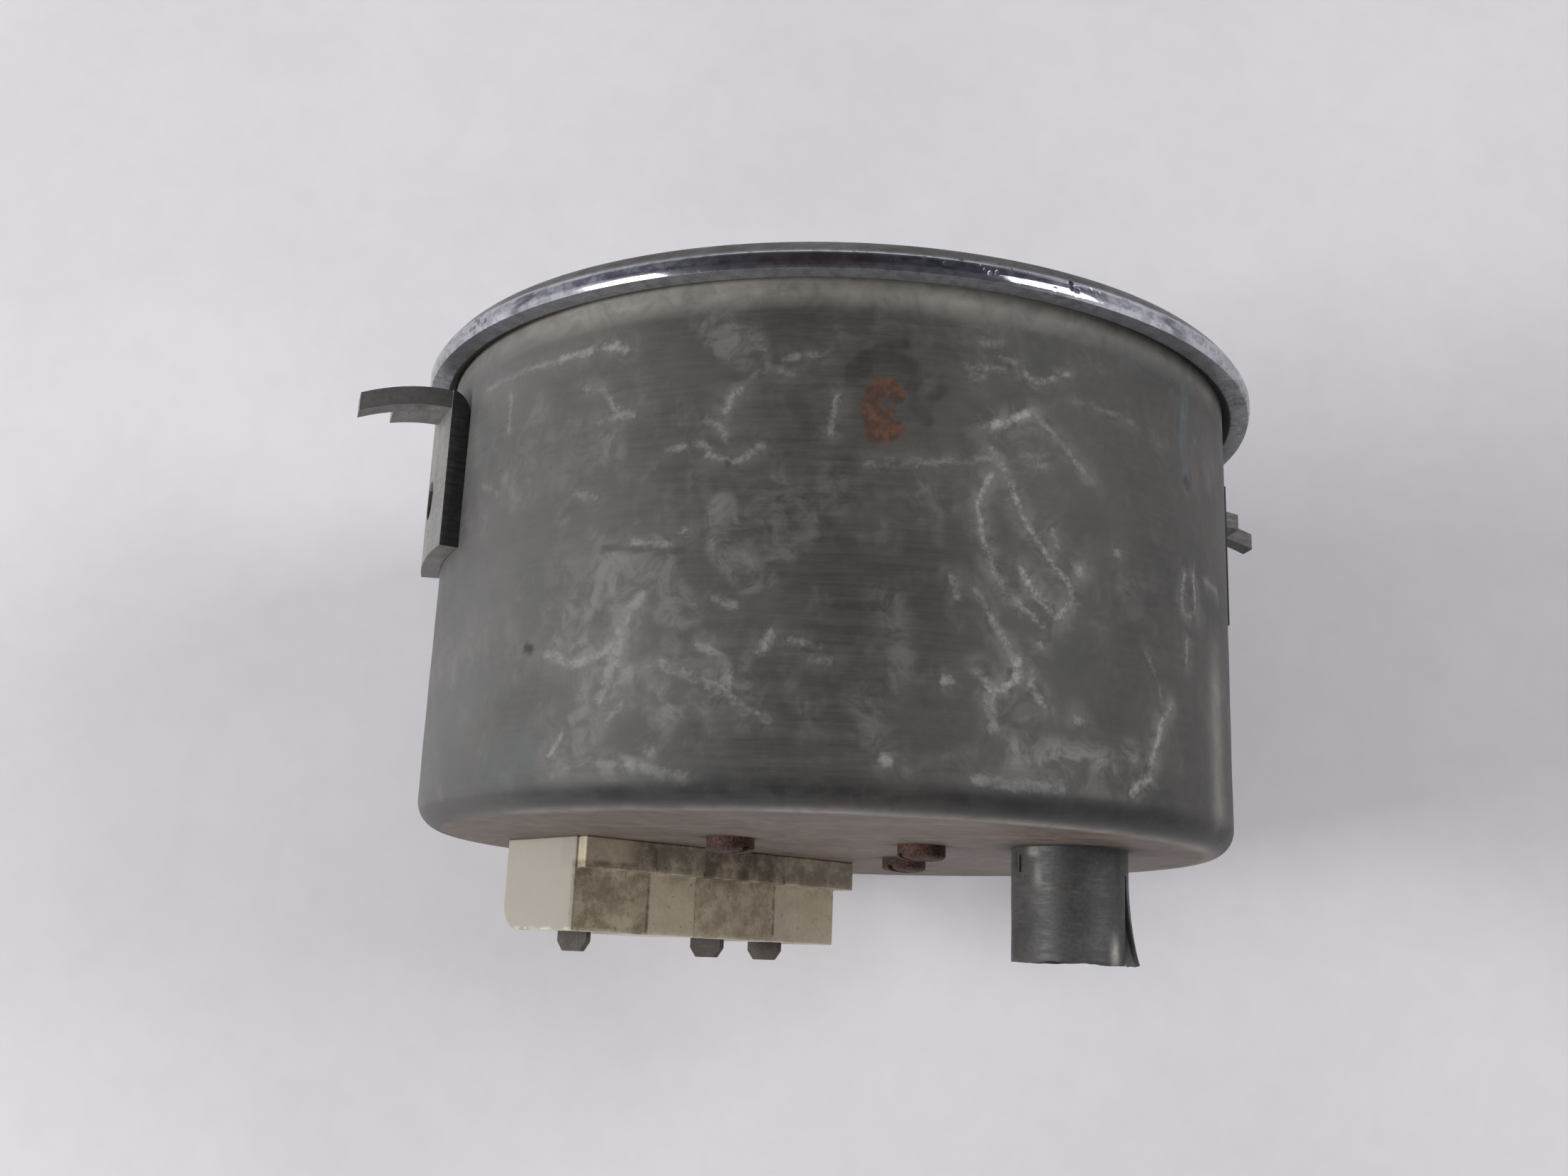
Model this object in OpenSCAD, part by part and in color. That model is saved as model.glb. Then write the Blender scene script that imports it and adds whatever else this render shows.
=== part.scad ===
// Electric dashboard tachometer with a drawn can, a rolled chrome bezel and two riveted side brackets.
// The axis of the instrument is Y. The dial faces -Y and the terminals point to +Y, with 12 o'clock at +Z.
// The origin is on the axis, in the plane of the bezel's rear edge. All sizes are in millimetres.

/* [Can] */
// Outer diameter of the can
can_d = 100; // [98:0.5:103]
// Wall of the can, also of its back and its front flange
can_wall = 1; // [0.8:0.1:1.3]
// Depth from the bezel's rear edge to the back face
can_depth = 54.2; // [52.6:0.2:61]
// Outer radius of the rounded back edge
back_round = 3.2; // [2:0.2:5]
// How far the front flange stands out from the can
flange_reach = 1.7; // [1.3:0.1:1.9]

/* [Bezel and glass] */
// Thickness of the bezel's sheet at its front and rear lips
bezel_sheet = 0.7; // [0.5:0.1:0.9]
// Depth of the bezel's outer wall at its fullest, beyond the flange
bezel_wall = 1.6; // [1.2:0.1:2]
// Thickness of the bezel's sheet where it narrows at the front
bezel_nose = 0.5; // [0.4:0.1:0.8]
// Distance from the bezel's rear edge to the fine ridge round its outside
ridge_setback = 1.7; // [1.4:0.1:2.1]
// Diameter of the open window in the bezel
window_d = 92; // [88:0.5:93]
// Thickness of the glass
glass_t = 1.6; // [1.4:0.1:2]
// Thickness of the rubber ring behind the glass
gasket_t = 0.7; // [0.5:0.1:1]
// Thickness of the visor ring's lip
visor_lip = 0.5; // [0.4:0.1:0.8]
// Wall of the visor ring's sleeve
visor_wall = 0.6; // [0.5:0.1:0.9]
// Inside diameter of the visor ring's sleeve
visor_d = 92.8; // [91:0.2:94]

/* [Dial and pointer] */
// Distance from the bezel's rear edge to the dial's face
dial_setback = 5; // [4:0.2:6]
// Diameter of the dial plate
dial_d = 96; // [95.6:0.2:97]
// Thickness of the dial plate
dial_t = 0.8; // [0.6:0.1:1]
// Hole in the dial for the spindle
dial_hole_d = 6; // [5:0.2:8]
// Distance of each dial screw from the axis
dial_screw_x = 18; // [16:0.5:21]
// Thread diameter of the dial screws
dial_screw_d = 2; // [1.6:0.1:2.4]
// Head diameter of the dial screws
dial_head_d = 4; // [3.4:0.1:4.6]
// Length of the pointer from the axis to its tip
pointer_len = 38; // [34:0.5:41]
// Length of the pointer's tail
tail_len = 12; // [10:0.5:14]
// Width of the pointer at its root
pointer_root_w = 2.8; // [2.2:0.1:3.4]
// Width of the pointer at its tip
pointer_tip_w = 0.9; // [0.6:0.1:1.4]
// Thickness of the pointer
pointer_t = 0.5; // [0.4:0.1:0.7]
// Gap between the pointer and the dial's face
pointer_gap = 2.2; // [1.8:0.1:2.8]
// Diameter of the pointer's hub cap
hub_d = 11; // [9:0.5:13]
// Clock angle of the pointer at rest, measured clockwise from 12 o'clock
rest_angle = -120; // [-135:5:-100]
// Sweep of the pointer from rest to its far stop
sweep = 240; // [200:5:250]
// Diameter of each pointer stop
stop_d = 1.2; // [1:0.1:1.6]
// Distance of the pointer stops from the axis
stop_reach = 26; // [23:0.5:30]

/* [Movement] */
// Diameter of the spindle
spindle_d = 2; // [1.6:0.1:2.4]
// Diameter of the rotor magnet
rotor_d = 11; // [9:0.5:11.4]
// Length of the rotor magnet along the axis
rotor_len = 6; // [5:0.5:7]
// Running room round the rotor magnet
rotor_room = 0.5; // [0.4:0.1:0.8]
// Wall of the bobbin round the rotor
bobbin_wall = 1.2; // [1:0.1:1.3]
// Depth of each coil's winding
coil_depth = 1.4; // [1.2:0.1:1.6]
// Width of each coil
coil_w = 7; // [6.6:0.2:7.6]
// Wall of the steel shield cup
shield_wall = 0.7; // [0.6:0.1:0.9]
// Thickness of the movement's two plates
plate_t = 1.6; // [1.4:0.1:2]
// Diameter of the front plate
front_plate_d = 50; // [48:0.5:56]
// Length of the pillars between the dial and the front plate
dial_pillar_len = 4.4; // [4:0.2:6]
// Diameter of the dial pillars and the frame posts
post_d = 5; // [4.6:0.2:6]
// Diameter of the tenons at the ends of the frame posts
tenon_d = 3; // [2.4:0.1:3.4]
// Distance of each frame post from the axis
post_z = 20; // [18:0.5:22]
// Diameter of the pins that lead the coils to the board
pin_d = 0.8; // [0.6:0.1:1]
// Outer diameter of the hairspring
hairspring_d = 14; // [12.6:0.2:15]
// Number of turns of the hairspring
hairspring_turns = 4; // [3:0.5:5]

/* [Circuit board] */
// Distance from the bezel's rear edge to the board's front face
board_setback = 37.6; // [35.6:0.5:38.6]
// Thickness of the board
board_t = 1.6; // [1.2:0.1:2]
// Diameter of the board
board_d = 88; // [85:0.5:92]
// Distance of the pillars and the back screws to each side of the axis
pillar_x = 11.3; // [11.2:0.1:12]
// Height of the two upper pillars above the axis
pillar_high = 12.3; // [12:0.1:13]
// Depth of the lower pillar below the axis
pillar_low = 9.6; // [9.4:0.1:11]
// Diameter of the pillars
pillar_d = 6; // [5.6:0.2:6.6]
// Solid length between the two tapped holes in each pillar
pillar_web = 4; // [2:0.5:6]

/* [Parts on the board] */
// Diameter of the larger standing capacitor
cap_big_d = 10; // [8:0.5:11]
// Centre of the larger capacitor, across
cap_big_x = -21; // [-24:0.5:-18]
// Centre of the larger capacitor, below the axis
cap_big_z = -19; // [-22:0.5:-17]
// Diameter of the smaller standing capacitor
cap_small_d = 8; // [6:0.5:9]
// Centre of the smaller capacitor, across
cap_small_x = -9; // [-11:0.5:-5]
// Centre of the smaller capacitor, below the axis
cap_small_z = -28; // [-32:0.5:-26]
// Room between the standing capacitors and the can's back
cap_room = 2.5; // [1:0.1:4]
// Width of the film capacitor
film_w = 12; // [10:0.5:14]
// Thickness of the film capacitor
film_t = 5; // [4:0.5:6]
// Centre of the film capacitor, above the axis
film_z = 26.5; // [25:0.5:30]
// Room between the film capacitor and the can's back
film_room = 5.6; // [3:0.1:7]
// Length of each resistor's body
resistor_len = 6.6; // [5:0.2:7]
// Diameter of each resistor's body
resistor_d = 2.4; // [1.8:0.1:2.8]
// Step across from one resistor to the next
resistor_pitch = 4; // [3.4:0.1:4.2]
// Centre of the first resistor, across
resistor_x = 14; // [13:0.5:15]
// Centre of the first resistor, below the axis
resistor_z = -6; // [-8:0.5:-5]
// Diameter of the transistors
transistor_d = 4.8; // [4.2:0.2:5.2]
// Height of the transistors' bodies
transistor_h = 4.6; // [4:0.2:5]
// Distance of the transistors from the axis, across
transistor_x = -22; // [-24:0.5:-19]
// Step from one transistor to the next
transistor_pitch = 8; // [7:0.5:9]
// Length of the integrated circuit
chip_len = 19; // [17:0.5:20]
// Width of the integrated circuit
chip_w = 6.4; // [6:0.1:6.6]
// Height of the integrated circuit's body
chip_h = 3.3; // [2.8:0.1:3.8]
// Centre of the integrated circuit, across
chip_x = 27; // [25:0.5:28]
// Centre of the integrated circuit, above the axis
chip_z = 12; // [11:0.5:13]
// Side of the trimmer's square body
trimmer_w = 10; // [9:0.5:11]
// Height of the trimmer's body
trimmer_h = 5; // [4.6:0.1:5.6]
// Diameter of the trimmer's rotor
trimmer_rotor_d = 6.8; // [6:0.2:7.6]
// Centre of the trimmer, across
trimmer_x = 18; // [16:1:20]
// Centre of the trimmer, above the axis
trimmer_z = 24; // [22:1:27]

/* [Back screws] */
// Thread diameter of the screws in the back
screw_d = 3; // [2.6:0.1:3.2]
// Head diameter of the screws in the back
screw_head_d = 5.7; // [5.3:0.1:6]
// Head height of the screws in the back
screw_head_h = 1.8; // [1.4:0.1:2.4]

/* [Connector] */
// Turn of the connector in the back plane
conn_turn = 41; // [36:1:46]
// Corner of the connector's housing, across
conn_x = 30; // [28:0.5:31]
// Corner of the connector's housing, up
conn_z = 7; // [6:0.5:9]
// Length of the housing
conn_len = 43.8; // [43:0.2:45]
// Width of the housing
conn_w = 15.3; // [14.5:0.1:15.7]
// Height of the housing above the back
conn_h = 11.3; // [10:0.1:13]
// Wall of the housing's cells
conn_wall = 1.3; // [1:0.1:1.6]
// Thickness of the housing's foot
foot_t = 3.8; // [3:0.1:4.4]
// How far the foot stands out beyond the housing
foot_reach = 1.5; // [1:0.1:2]
// Width of the blades
blade_w = 6.3; // [4.8:0.1:6.5]
// Thickness of the blades
blade_t = 0.8; // [0.6:0.1:1]
// Height of the blade tips above the back
blade_h = 13.6; // [12:0.1:16]
// Place of the first blade along the housing
blade_1 = 5.8; // [5.4:0.1:6.2]
// Place of the second blade along the housing
blade_2 = 27.4; // [26:0.1:28]
// Place of the third blade along the housing
blade_3 = 37.7; // [37.2:0.1:38.4]

/* [Lamp tube] */
// Outer diameter of the lamp tube
tube_d = 13.5; // [12.5:0.1:14.5]
// Wall of the lamp tube
tube_wall = 0.6; // [0.5:0.1:0.9]
// Height of the lamp tube above the back
tube_h = 13; // [11:0.2:16]
// Centre of the lamp tube, across
tube_x = -28.5; // [-30:0.5:-27]
// Centre of the lamp tube, up
tube_z = 14; // [11:0.5:16]
// Width of the tube's inner flange
tube_flange = 1.6; // [1:0.1:2]
// Width of the slits in the tube
tube_slit = 0.5; // [0.3:0.1:0.8]
// Height of the tube that its two slits leave whole
tube_whole = 3; // [2:0.2:5]

/* [Brackets] */
// Thickness of the bracket's sheet
bracket_t = 2.2; // [1.8:0.1:2.6]
// Angle of the left bracket's rivet above the horizontal
bracket_angle = 18.5; // [14:0.5:22]
// Angle from the left bracket to the right one
bracket_apart = 170; // [165:1:180]
// Half the angle that a bracket's leg covers on the can
leg_half_angle = 9.4; // [9:0.2:11]
// Distance from the bezel's rear edge to the ear's front face
ear_setback = 4.1; // [3.1:0.1:5.1]
// Distance from the bezel's rear edge to the end of the leg
leg_end = 23.1; // [20.6:0.5:27.6]
// Reach of the ear's finger, from the instrument's axis
finger_reach = 62; // [60:0.5:66]
// Reach of the ear's shorter step, from the instrument's axis
step_reach = 58; // [56:0.5:59]
// How far the finger's tip is bowed towards the back
ear_bow = 2; // [0:0.2:2.4]
// Width of the ear
ear_w = 7.2; // [6:0.2:9]
// Width of the finger
finger_w = 3; // [2:0.2:4]
// Diameter of the hole in the leg, round the rivet's end
leg_hole_d = 4.8; // [4:0.1:5.5]
// Diameter of the rivet's shank
rivet_d = 3.2; // [2.8:0.1:3.5]
// Diameter of the rivet's head inside the can
rivet_head_d = 6.4; // [5.6:0.2:7]

/* [Hidden] */

// Clearances: a fixed fit, a pressed fit on the spindle, a running fit and free room round a part
seat_gap = 0.05;
press_gap = 0.02;
bearing_gap = 0.04;
free_gap = 0.3;

can_r = can_d / 2;
can_in_r = can_r - can_wall;
window_r = window_d / 2;
visor_r = visor_d / 2;
dial_r = dial_d / 2;

// Stations along the axis, from the front to the back
flange_y = -bezel_sheet - can_wall;
visor_y = flange_y - visor_lip;
gasket_y = visor_y - gasket_t;
glass_y = gasket_y - glass_t;
bezel_y = glass_y - bezel_sheet;
dial_y = dial_setback;
dial_back_y = dial_y + dial_t;
pointer_back_y = dial_y - pointer_gap;
pointer_y = pointer_back_y - pointer_t;
front_plate_y = dial_back_y + dial_pillar_len;
cup_y = front_plate_y + plate_t;
back_in_y = can_depth - can_wall;
board_y = board_setback;
board_back_y = board_y + board_t;
bay = back_in_y - board_back_y;

// How far each screw enters its pillar, and how much deeper the pillar is tapped
screw_grip = (bay - pillar_web) / 2;
tap_run = 0.4;

// Height of a part's underside above the board, where it stands on its leads
stand_off = 0.5;

// Flange and bezel radii
flange_r = can_r + flange_reach;
stack_r = flange_r - seat_gap;
bezel_in_r = flange_r + 2 * seat_gap;
nose_r = bezel_in_r + bezel_nose;
bezel_r = bezel_in_r + bezel_wall;

// Movement sizes, from the rotor outwards
rotor_r = rotor_d / 2;
cavity_r = rotor_r + rotor_room;
bobbin_r = cavity_r + bobbin_wall;
cavity_len = rotor_len + 2 * rotor_room;
bobbin_len = cavity_len + 2 * bobbin_wall;
coil_gap = 0.1;
pin_pass = pin_d / 2 + 2 * coil_gap;
dial_grip = dial_pillar_len - 1.4;
inner_coil_r = bobbin_r + coil_gap + coil_depth;
outer_coil_r = inner_coil_r + coil_gap + coil_depth;
coils_len = bobbin_len + 4 * (coil_depth + coil_gap);
shield_in_r = norm([outer_coil_r, coil_w / 2]) + 0.15;
shield_r = shield_in_r + shield_wall;
coils_y = cup_y + coil_gap;
rear_plate_y = coils_y + coils_len + free_gap + shield_wall;
rear_plate_back_y = rear_plate_y + plate_t;
bobbin_y = coils_y + 2 * (coil_depth + coil_gap);
split_y = bobbin_y + bobbin_len / 2;
rotor_y = split_y - rotor_len / 2;
bearing_d = spindle_d + 1.6;
boss_r = bearing_d / 2 + 0.7;
boss_y = front_plate_y;
boss_end_y = bobbin_y + bobbin_len + 2 * (coil_depth + coil_gap) - coil_gap;
coil_pass_r = boss_r + coil_gap;
spindle_r = spindle_d / 2;
bearing_len = 3;
spindle_y = pointer_y - 0.8;
spindle_end_y = boss_end_y - 0.8;
hair_y = dial_back_y + 1;
hair_t = 0.25;
hair_h = 0.9;
collet_r = spindle_r + 0.9;

// Places of the three pillars, as [across, up]
pillar_at = [[-pillar_x, pillar_high], [pillar_x, pillar_high], [-pillar_x, -pillar_low]];
pillar_bore_r = screw_d / 2 + seat_gap;

// The far edge of the connector is rounded over this radius
conn_round = 3.4;
// The face past the second crease is set back by this much
conn_step = 0.4;
// Creases between the housing's cells, along its length
crease_1 = 11.3;
crease_2 = 19;
crease_3 = 32.7;
cell_floor = 2.4;
spigot_in = 2;
spigot_h = 1.2;
tail_w = 2.4;
lead_r = 0.3;

leg_gap = seat_gap;
leg_in_r = can_r + leg_gap;
leg_r = leg_in_r + bracket_t;
bend_r = 2.6;

tube_r = tube_d / 2;
tube_end_y = can_depth + tube_h;

// Revolves a profile of [radius, station] points about the instrument's axis
module turned(fn = 180) {
    rotate([-90, 0, 0])
        rotate_extrude($fn = fn)
            children();
}

// Revolves a profile from angle a to angle b, both measured from +X towards +Z
module turned_arc(a, b) {
    rotate([0, -b, 0])
        rotate([-90, 0, 0])
            rotate_extrude(angle = b - a, $fn = 180)
                children();
}

// Extrudes an outline of [across, up] points from station y, by t
module slab(y, t) {
    translate([0, y + t, 0])
        rotate([90, 0, 0])
            linear_extrude(t)
                children();
}

// A round bar from station a to station b, at [across, up]
module rod(at, a, b, r) {
    translate([at[0], a, at[1]])
        rotate([-90, 0, 0])
            cylinder(h = b - a, r = r, $fn = 48);
}

// A ring-shaped profile for turned(), between two radii and two stations
module band(r1, r2, a, b) {
    translate([r1, a])
        square([r2 - r1, b - a]);
}

// The corner to take off a square edge, for an edge rounded over radius r
module corner(r) {
    difference() {
        square(r);
        circle(r = r, $fn = 64);
    }
}

// The drawn can with its front flange, its rounded back edge and the openings in its back
module can() {
    color([0.5, 0.5, 0.49])
        difference() {
            union() {
                turned()
                    difference() {
                        band(0, can_r, flange_y, can_depth);
                        translate([can_r - back_round, can_depth - back_round])
                            corner(back_round);
                    }
                turned()
                    band(can_in_r, flange_r, flange_y, flange_y + can_wall);
            }
            turned()
                difference() {
                    band(0, can_in_r, flange_y - 1, back_in_y);
                    translate([can_r - back_round, can_depth - back_round])
                        corner(back_round - can_wall);
                }
            for (at = pillar_at)
                rod(at, back_in_y - 1, can_depth + 1, screw_d / 2 + 2 * seat_gap);
            rod([tube_x, tube_z], back_in_y - 1, can_depth + 1, tube_r + seat_gap);
            in_connector()
                spigot(back_in_y - 1, can_depth + 1, seat_gap);
            for (a = bracket_angles())
                rotate([0, -a, 0])
                    rivet_hole(can_r - 3, can_r + 1, rivet_d / 2 + seat_gap);
        }
}

// The rolled chrome bezel: a front roll, a crease, a rounded wall and a rear lip
module bezel() {
    color([0.82, 0.82, 0.84])
        turned()
            polygon([
                [window_r, glass_y],
                [window_r, bezel_y + 0.25],
                [window_r + 0.4, bezel_y],
                [nose_r - 0.6, bezel_y],
                [nose_r, bezel_y + 0.4],
                [nose_r, bezel_y + 0.8],
                [bezel_r - 0.25, -ridge_setback - 1.2],
                [bezel_r - 0.1, -ridge_setback - 0.2],
                [bezel_r, -ridge_setback],
                [bezel_r - 0.2, -ridge_setback + 0.25],
                [bezel_r - 0.05, -0.9],
                [bezel_r, -0.6],
                [bezel_r - 0.1, -0.25],
                [bezel_r - 0.4, 0],
                [can_r + 2 * seat_gap, 0],
                [can_r + 2 * seat_gap, -bezel_sheet],
                [bezel_in_r, -bezel_sheet],
                [bezel_in_r, glass_y]
            ]);
}

module glass() {
    color([0.8, 0.88, 0.9, 0.35])
        turned()
            band(0, stack_r, glass_y, gasket_y);
}

module glass_gasket() {
    color([0.08, 0.08, 0.08])
        turned()
            band(visor_r + visor_wall, stack_r, gasket_y, visor_y);
}

// The black visor ring, clamped by its lip and reaching back to the dial
module visor_ring() {
    color([0.09, 0.09, 0.1])
        turned()
            union() {
                band(visor_r, stack_r, visor_y, flange_y);
                band(visor_r, visor_r + visor_wall, visor_y, dial_y);
            }
}

module dial_plate() {
    color([0.06, 0.06, 0.07])
        difference() {
            turned()
                band(dial_hole_d / 2, dial_r, dial_y, dial_back_y);
            for (s = [-1, 1])
                rod([s * dial_screw_x, 0], dial_y - 1, dial_back_y + 1, dial_screw_d / 2 + 4 * seat_gap);
            for (a = stop_angles())
                rotate([0, a, 0])
                    rod([0, stop_reach], dial_y - 1, dial_back_y + 1, stop_d / 2 + seat_gap);
        }
}

// Two small screws that hold the dial to its pillars
module dial_screws() {
    head_h = 0.9;
    color([0.35, 0.33, 0.3])
        for (s = [-1, 1]) {
            difference() {
                rod([s * dial_screw_x, 0], dial_y - head_h, dial_y, dial_head_d / 2);
                translate([s * dial_screw_x - dial_head_d, dial_y - head_h - 0.3, -0.25])
                    cube([2 * dial_head_d, 0.8, 0.5]);
            }
            rod([s * dial_screw_x, 0], dial_y - 0.1, dial_back_y + dial_grip, dial_screw_d / 2);
        }
}

// Clock angles of the two stops, just clear of the pointer's flanks at its limits
function pointer_w(r) = pointer_root_w + (pointer_tip_w - pointer_root_w) * r / pointer_len;
function stop_angles() =
    let (clear = asin((pointer_w(stop_reach) / 2 + stop_d / 2 + 0.15) / stop_reach))
        [rest_angle - clear, rest_angle + sweep + clear];

module pointer_stops() {
    color([0.7, 0.6, 0.35])
        for (a = stop_angles())
            rotate([0, a, 0])
                rod([0, stop_reach], pointer_y - 0.4, dial_back_y, stop_d / 2);
}

// The tapered pointer with its tail, drawn at rest
module pointer() {
    color([0.85, 0.3, 0.12])
        rotate([0, rest_angle, 0])
            difference() {
                union() {
                    slab(pointer_y, pointer_t)
                        polygon([
                            [-pointer_root_w / 2, 0],
                            [-pointer_tip_w / 2, pointer_len - pointer_tip_w],
                            [0, pointer_len],
                            [pointer_tip_w / 2, pointer_len - pointer_tip_w],
                            [pointer_root_w / 2, 0],
                            [pointer_root_w / 2 + 0.3, -tail_len],
                            [-pointer_root_w / 2 - 0.3, -tail_len]
                        ]);
                    rod([0, 0], pointer_y, pointer_back_y, hub_d / 2 - 1.2);
                }
                rod([0, 0], pointer_y - 1, pointer_back_y + 1, spindle_r + press_gap);
            }
}

// The black cap over the pointer's root, with a short collar on the spindle
module pointer_hub() {
    color([0.05, 0.05, 0.05])
        turned(96)
            polygon([
                [0, pointer_y - 2.2], [hub_d / 2 - 1.4, pointer_y - 2.2], [hub_d / 2 - 0.5, pointer_y - 1.9],
                [hub_d / 2, pointer_y - 1.2], [hub_d / 2, pointer_y],
                [spindle_r + press_gap, pointer_y], [spindle_r + press_gap, spindle_y], [0, spindle_y]
            ]);
}

// Counterweight under the pointer's tail
module balance_weight() {
    color([0.72, 0.6, 0.32])
        rotate([0, rest_angle, 0])
            rod([0, -tail_len + 2.6], pointer_back_y, pointer_back_y + 1.5, 1.9);
}

module spindle() {
    color([0.7, 0.7, 0.72])
        turned(48)
            polygon([
                [0, spindle_y], [spindle_r, spindle_y], [spindle_r, spindle_end_y - 0.8],
                [0.2, spindle_end_y], [0, spindle_end_y]
            ]);
}

module rotor_magnet() {
    color([0.2, 0.2, 0.21])
        turned(96)
            band(spindle_r + press_gap, rotor_r, rotor_y, rotor_y + rotor_len);
}

module hairspring_collet() {
    color([0.72, 0.6, 0.32])
        turned(48)
            band(spindle_r + press_gap, collet_r, hair_y - 0.3, hair_y + hair_h + 0.3);
}

// A flat spiral strip round the collet, as one outline that winds steadily outwards
module hairspring() {
    r_in = collet_r + free_gap + hair_t / 2;
    r_out = hairspring_d / 2 - hair_t / 2;
    steps = 18 * hairspring_turns;
    mid = [for (i = [0:steps]) r_in + (r_out - r_in) * i / steps];
    outer = [for (i = [0:steps]) (mid[i] + hair_t / 2) * [cos(20 * i), sin(20 * i)]];
    inner = [for (i = [0:steps]) (mid[steps - i] - hair_t / 2) * [cos(20 * (steps - i)), sin(20 * (steps - i))]];
    color([0.6, 0.45, 0.25])
        slab(hair_y, hair_h)
            polygon(concat(outer, inner));
}

// The peg that anchors the hairspring's outer end to the front plate
module hairspring_peg() {
    end = 360 * hairspring_turns;
    peg_r = 0.7;
    reach = hairspring_d / 2 + peg_r + seat_gap;
    color([0.72, 0.6, 0.32])
        rod(reach * [cos(end), sin(end)], hair_y - 0.2, front_plate_y, peg_r);
}

// The movement's front plate, which carries the dial pillars and the bobbin's front boss
module front_plate() {
    color([0.72, 0.72, 0.7])
        difference() {
            turned()
                band(boss_r + seat_gap, front_plate_d / 2, front_plate_y, cup_y);
            for (s = [-1, 1])
                rod([0, s * post_z], front_plate_y - 1, cup_y + 1, tenon_d / 2 + seat_gap);
        }
}

// Two pillars between the front plate and the dial, tapped for the dial screws
module dial_pillars() {
    color([0.72, 0.6, 0.32])
        for (s = [-1, 1])
            difference() {
                rod([s * dial_screw_x, 0], dial_back_y, front_plate_y, post_d / 2);
                rod([s * dial_screw_x, 0], dial_back_y - 1, dial_back_y + dial_grip + tap_run,
                    dial_screw_d / 2 + seat_gap);
            }
}

// The movement's rear plate, a disc with holes for the carrier screws and the coil pins
module rear_plate() {
    color([0.72, 0.72, 0.7])
        difference() {
            turned()
                band(boss_r + 1.4, post_z + post_d / 2 + 0.5, rear_plate_y, rear_plate_back_y);
            for (s = [-1, 1])
                rod([0, s * post_z], rear_plate_y - 1, rear_plate_back_y + 1, tenon_d / 2 + seat_gap);
            for (at = pillar_at)
                rod(at, rear_plate_y - 1, rear_plate_back_y + 1, pillar_bore_r);
            for (at = coil_pin_at())
                rod(at, rear_plate_y - 1, rear_plate_back_y + 1, pin_pass + free_gap);
        }
}

// Two shouldered posts that join the front plate to the rear plate
module frame_posts() {
    color([0.72, 0.6, 0.32])
        for (s = [-1, 1]) {
            rod([0, s * post_z], front_plate_y - 0.3, rear_plate_back_y + 0.3, tenon_d / 2);
            rod([0, s * post_z], cup_y, rear_plate_y, post_d / 2);
        }
}

// The steel cup that shields the coils
module shield_cup() {
    color([0.6, 0.6, 0.6])
        difference() {
            turned(96)
                union() {
                    band(shield_in_r, shield_r, cup_y, rear_plate_y);
                    band(boss_r + 1.4, shield_r, rear_plate_y - shield_wall, rear_plate_y);
                }
            for (at = coil_pin_at())
                rod(at, rear_plate_y - 2, rear_plate_y + 1, pin_pass + free_gap);
        }
}

// One half of the bobbin, from its boss to the middle of the rotor's cavity
module bobbin_front() {
    color([0.82, 0.8, 0.72])
        turned(96)
            polygon([
                [bearing_d / 2 + seat_gap, boss_y], [boss_r, boss_y], [boss_r, bobbin_y],
                [bobbin_r, bobbin_y], [bobbin_r, split_y], [cavity_r, split_y],
                [cavity_r, bobbin_y + bobbin_wall], [spindle_r + free_gap, bobbin_y + bobbin_wall],
                [spindle_r + free_gap, boss_y + bearing_len], [bearing_d / 2 + seat_gap, boss_y + bearing_len]
            ]);
}

module bobbin_rear() {
    boss_a = boss_end_y - bearing_len;
    color([0.82, 0.8, 0.72])
        turned(96)
            polygon([
                [cavity_r, split_y], [bobbin_r, split_y], [bobbin_r, bobbin_y + bobbin_len],
                [boss_r, bobbin_y + bobbin_len], [boss_r, boss_end_y], [bearing_d / 2 + seat_gap, boss_end_y],
                [bearing_d / 2 + seat_gap, boss_a], [spindle_r + free_gap, boss_a],
                [spindle_r + free_gap, bobbin_y + bobbin_len - bobbin_wall],
                [cavity_r, bobbin_y + bobbin_len - bobbin_wall]
            ]);
}

module front_bearing() {
    color([0.78, 0.66, 0.36])
        turned(48)
            band(spindle_r + bearing_gap, bearing_d / 2, boss_y, boss_y + bearing_len);
}

// The rear bearing is a blind cup with a jewel face behind the spindle's cone
module rear_bearing() {
    a = boss_end_y - bearing_len;
    color([0.78, 0.66, 0.36])
        turned(48)
            polygon([
                [spindle_r + bearing_gap, a], [bearing_d / 2, a], [bearing_d / 2, boss_end_y], [0, boss_end_y],
                [0, spindle_end_y + bearing_gap], [spindle_r + bearing_gap, spindle_end_y + bearing_gap]
            ]);
}

// A flat winding that goes round the bobbin's ends and sides, split round its bosses
module coil(reach, y, len) {
    difference() {
        translate([-reach, y, -coil_w / 2])
            cube([2 * reach, len, coil_w]);
        translate([coil_depth - reach, y + coil_depth, -coil_w])
            cube([2 * (reach - coil_depth), len - 2 * coil_depth, 2 * coil_w]);
        rod([0, 0], y - 1, y + len + 1, coil_pass_r);
    }
}

module inner_coil() {
    y = bobbin_y - coil_gap - coil_depth;
    color([0.6, 0.28, 0.12])
        coil(inner_coil_r, y, bobbin_len + 2 * (coil_gap + coil_depth));
}

module outer_coil() {
    y = bobbin_y - 2 * (coil_gap + coil_depth);
    color([0.66, 0.32, 0.14])
        rotate([0, 90, 0])
            coil(outer_coil_r, y, bobbin_len + 4 * (coil_gap + coil_depth));
}

// Places of the four pins that lead the coils to the board
function coil_pin_at() = [for (a = [45:90:315]) (bobbin_r + 1) * [cos(a), sin(a)]];

module coil_pins() {
    color([0.8, 0.8, 0.78])
        for (at = coil_pin_at())
            rod(at, split_y, board_back_y + 1, pin_d / 2);
}

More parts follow.
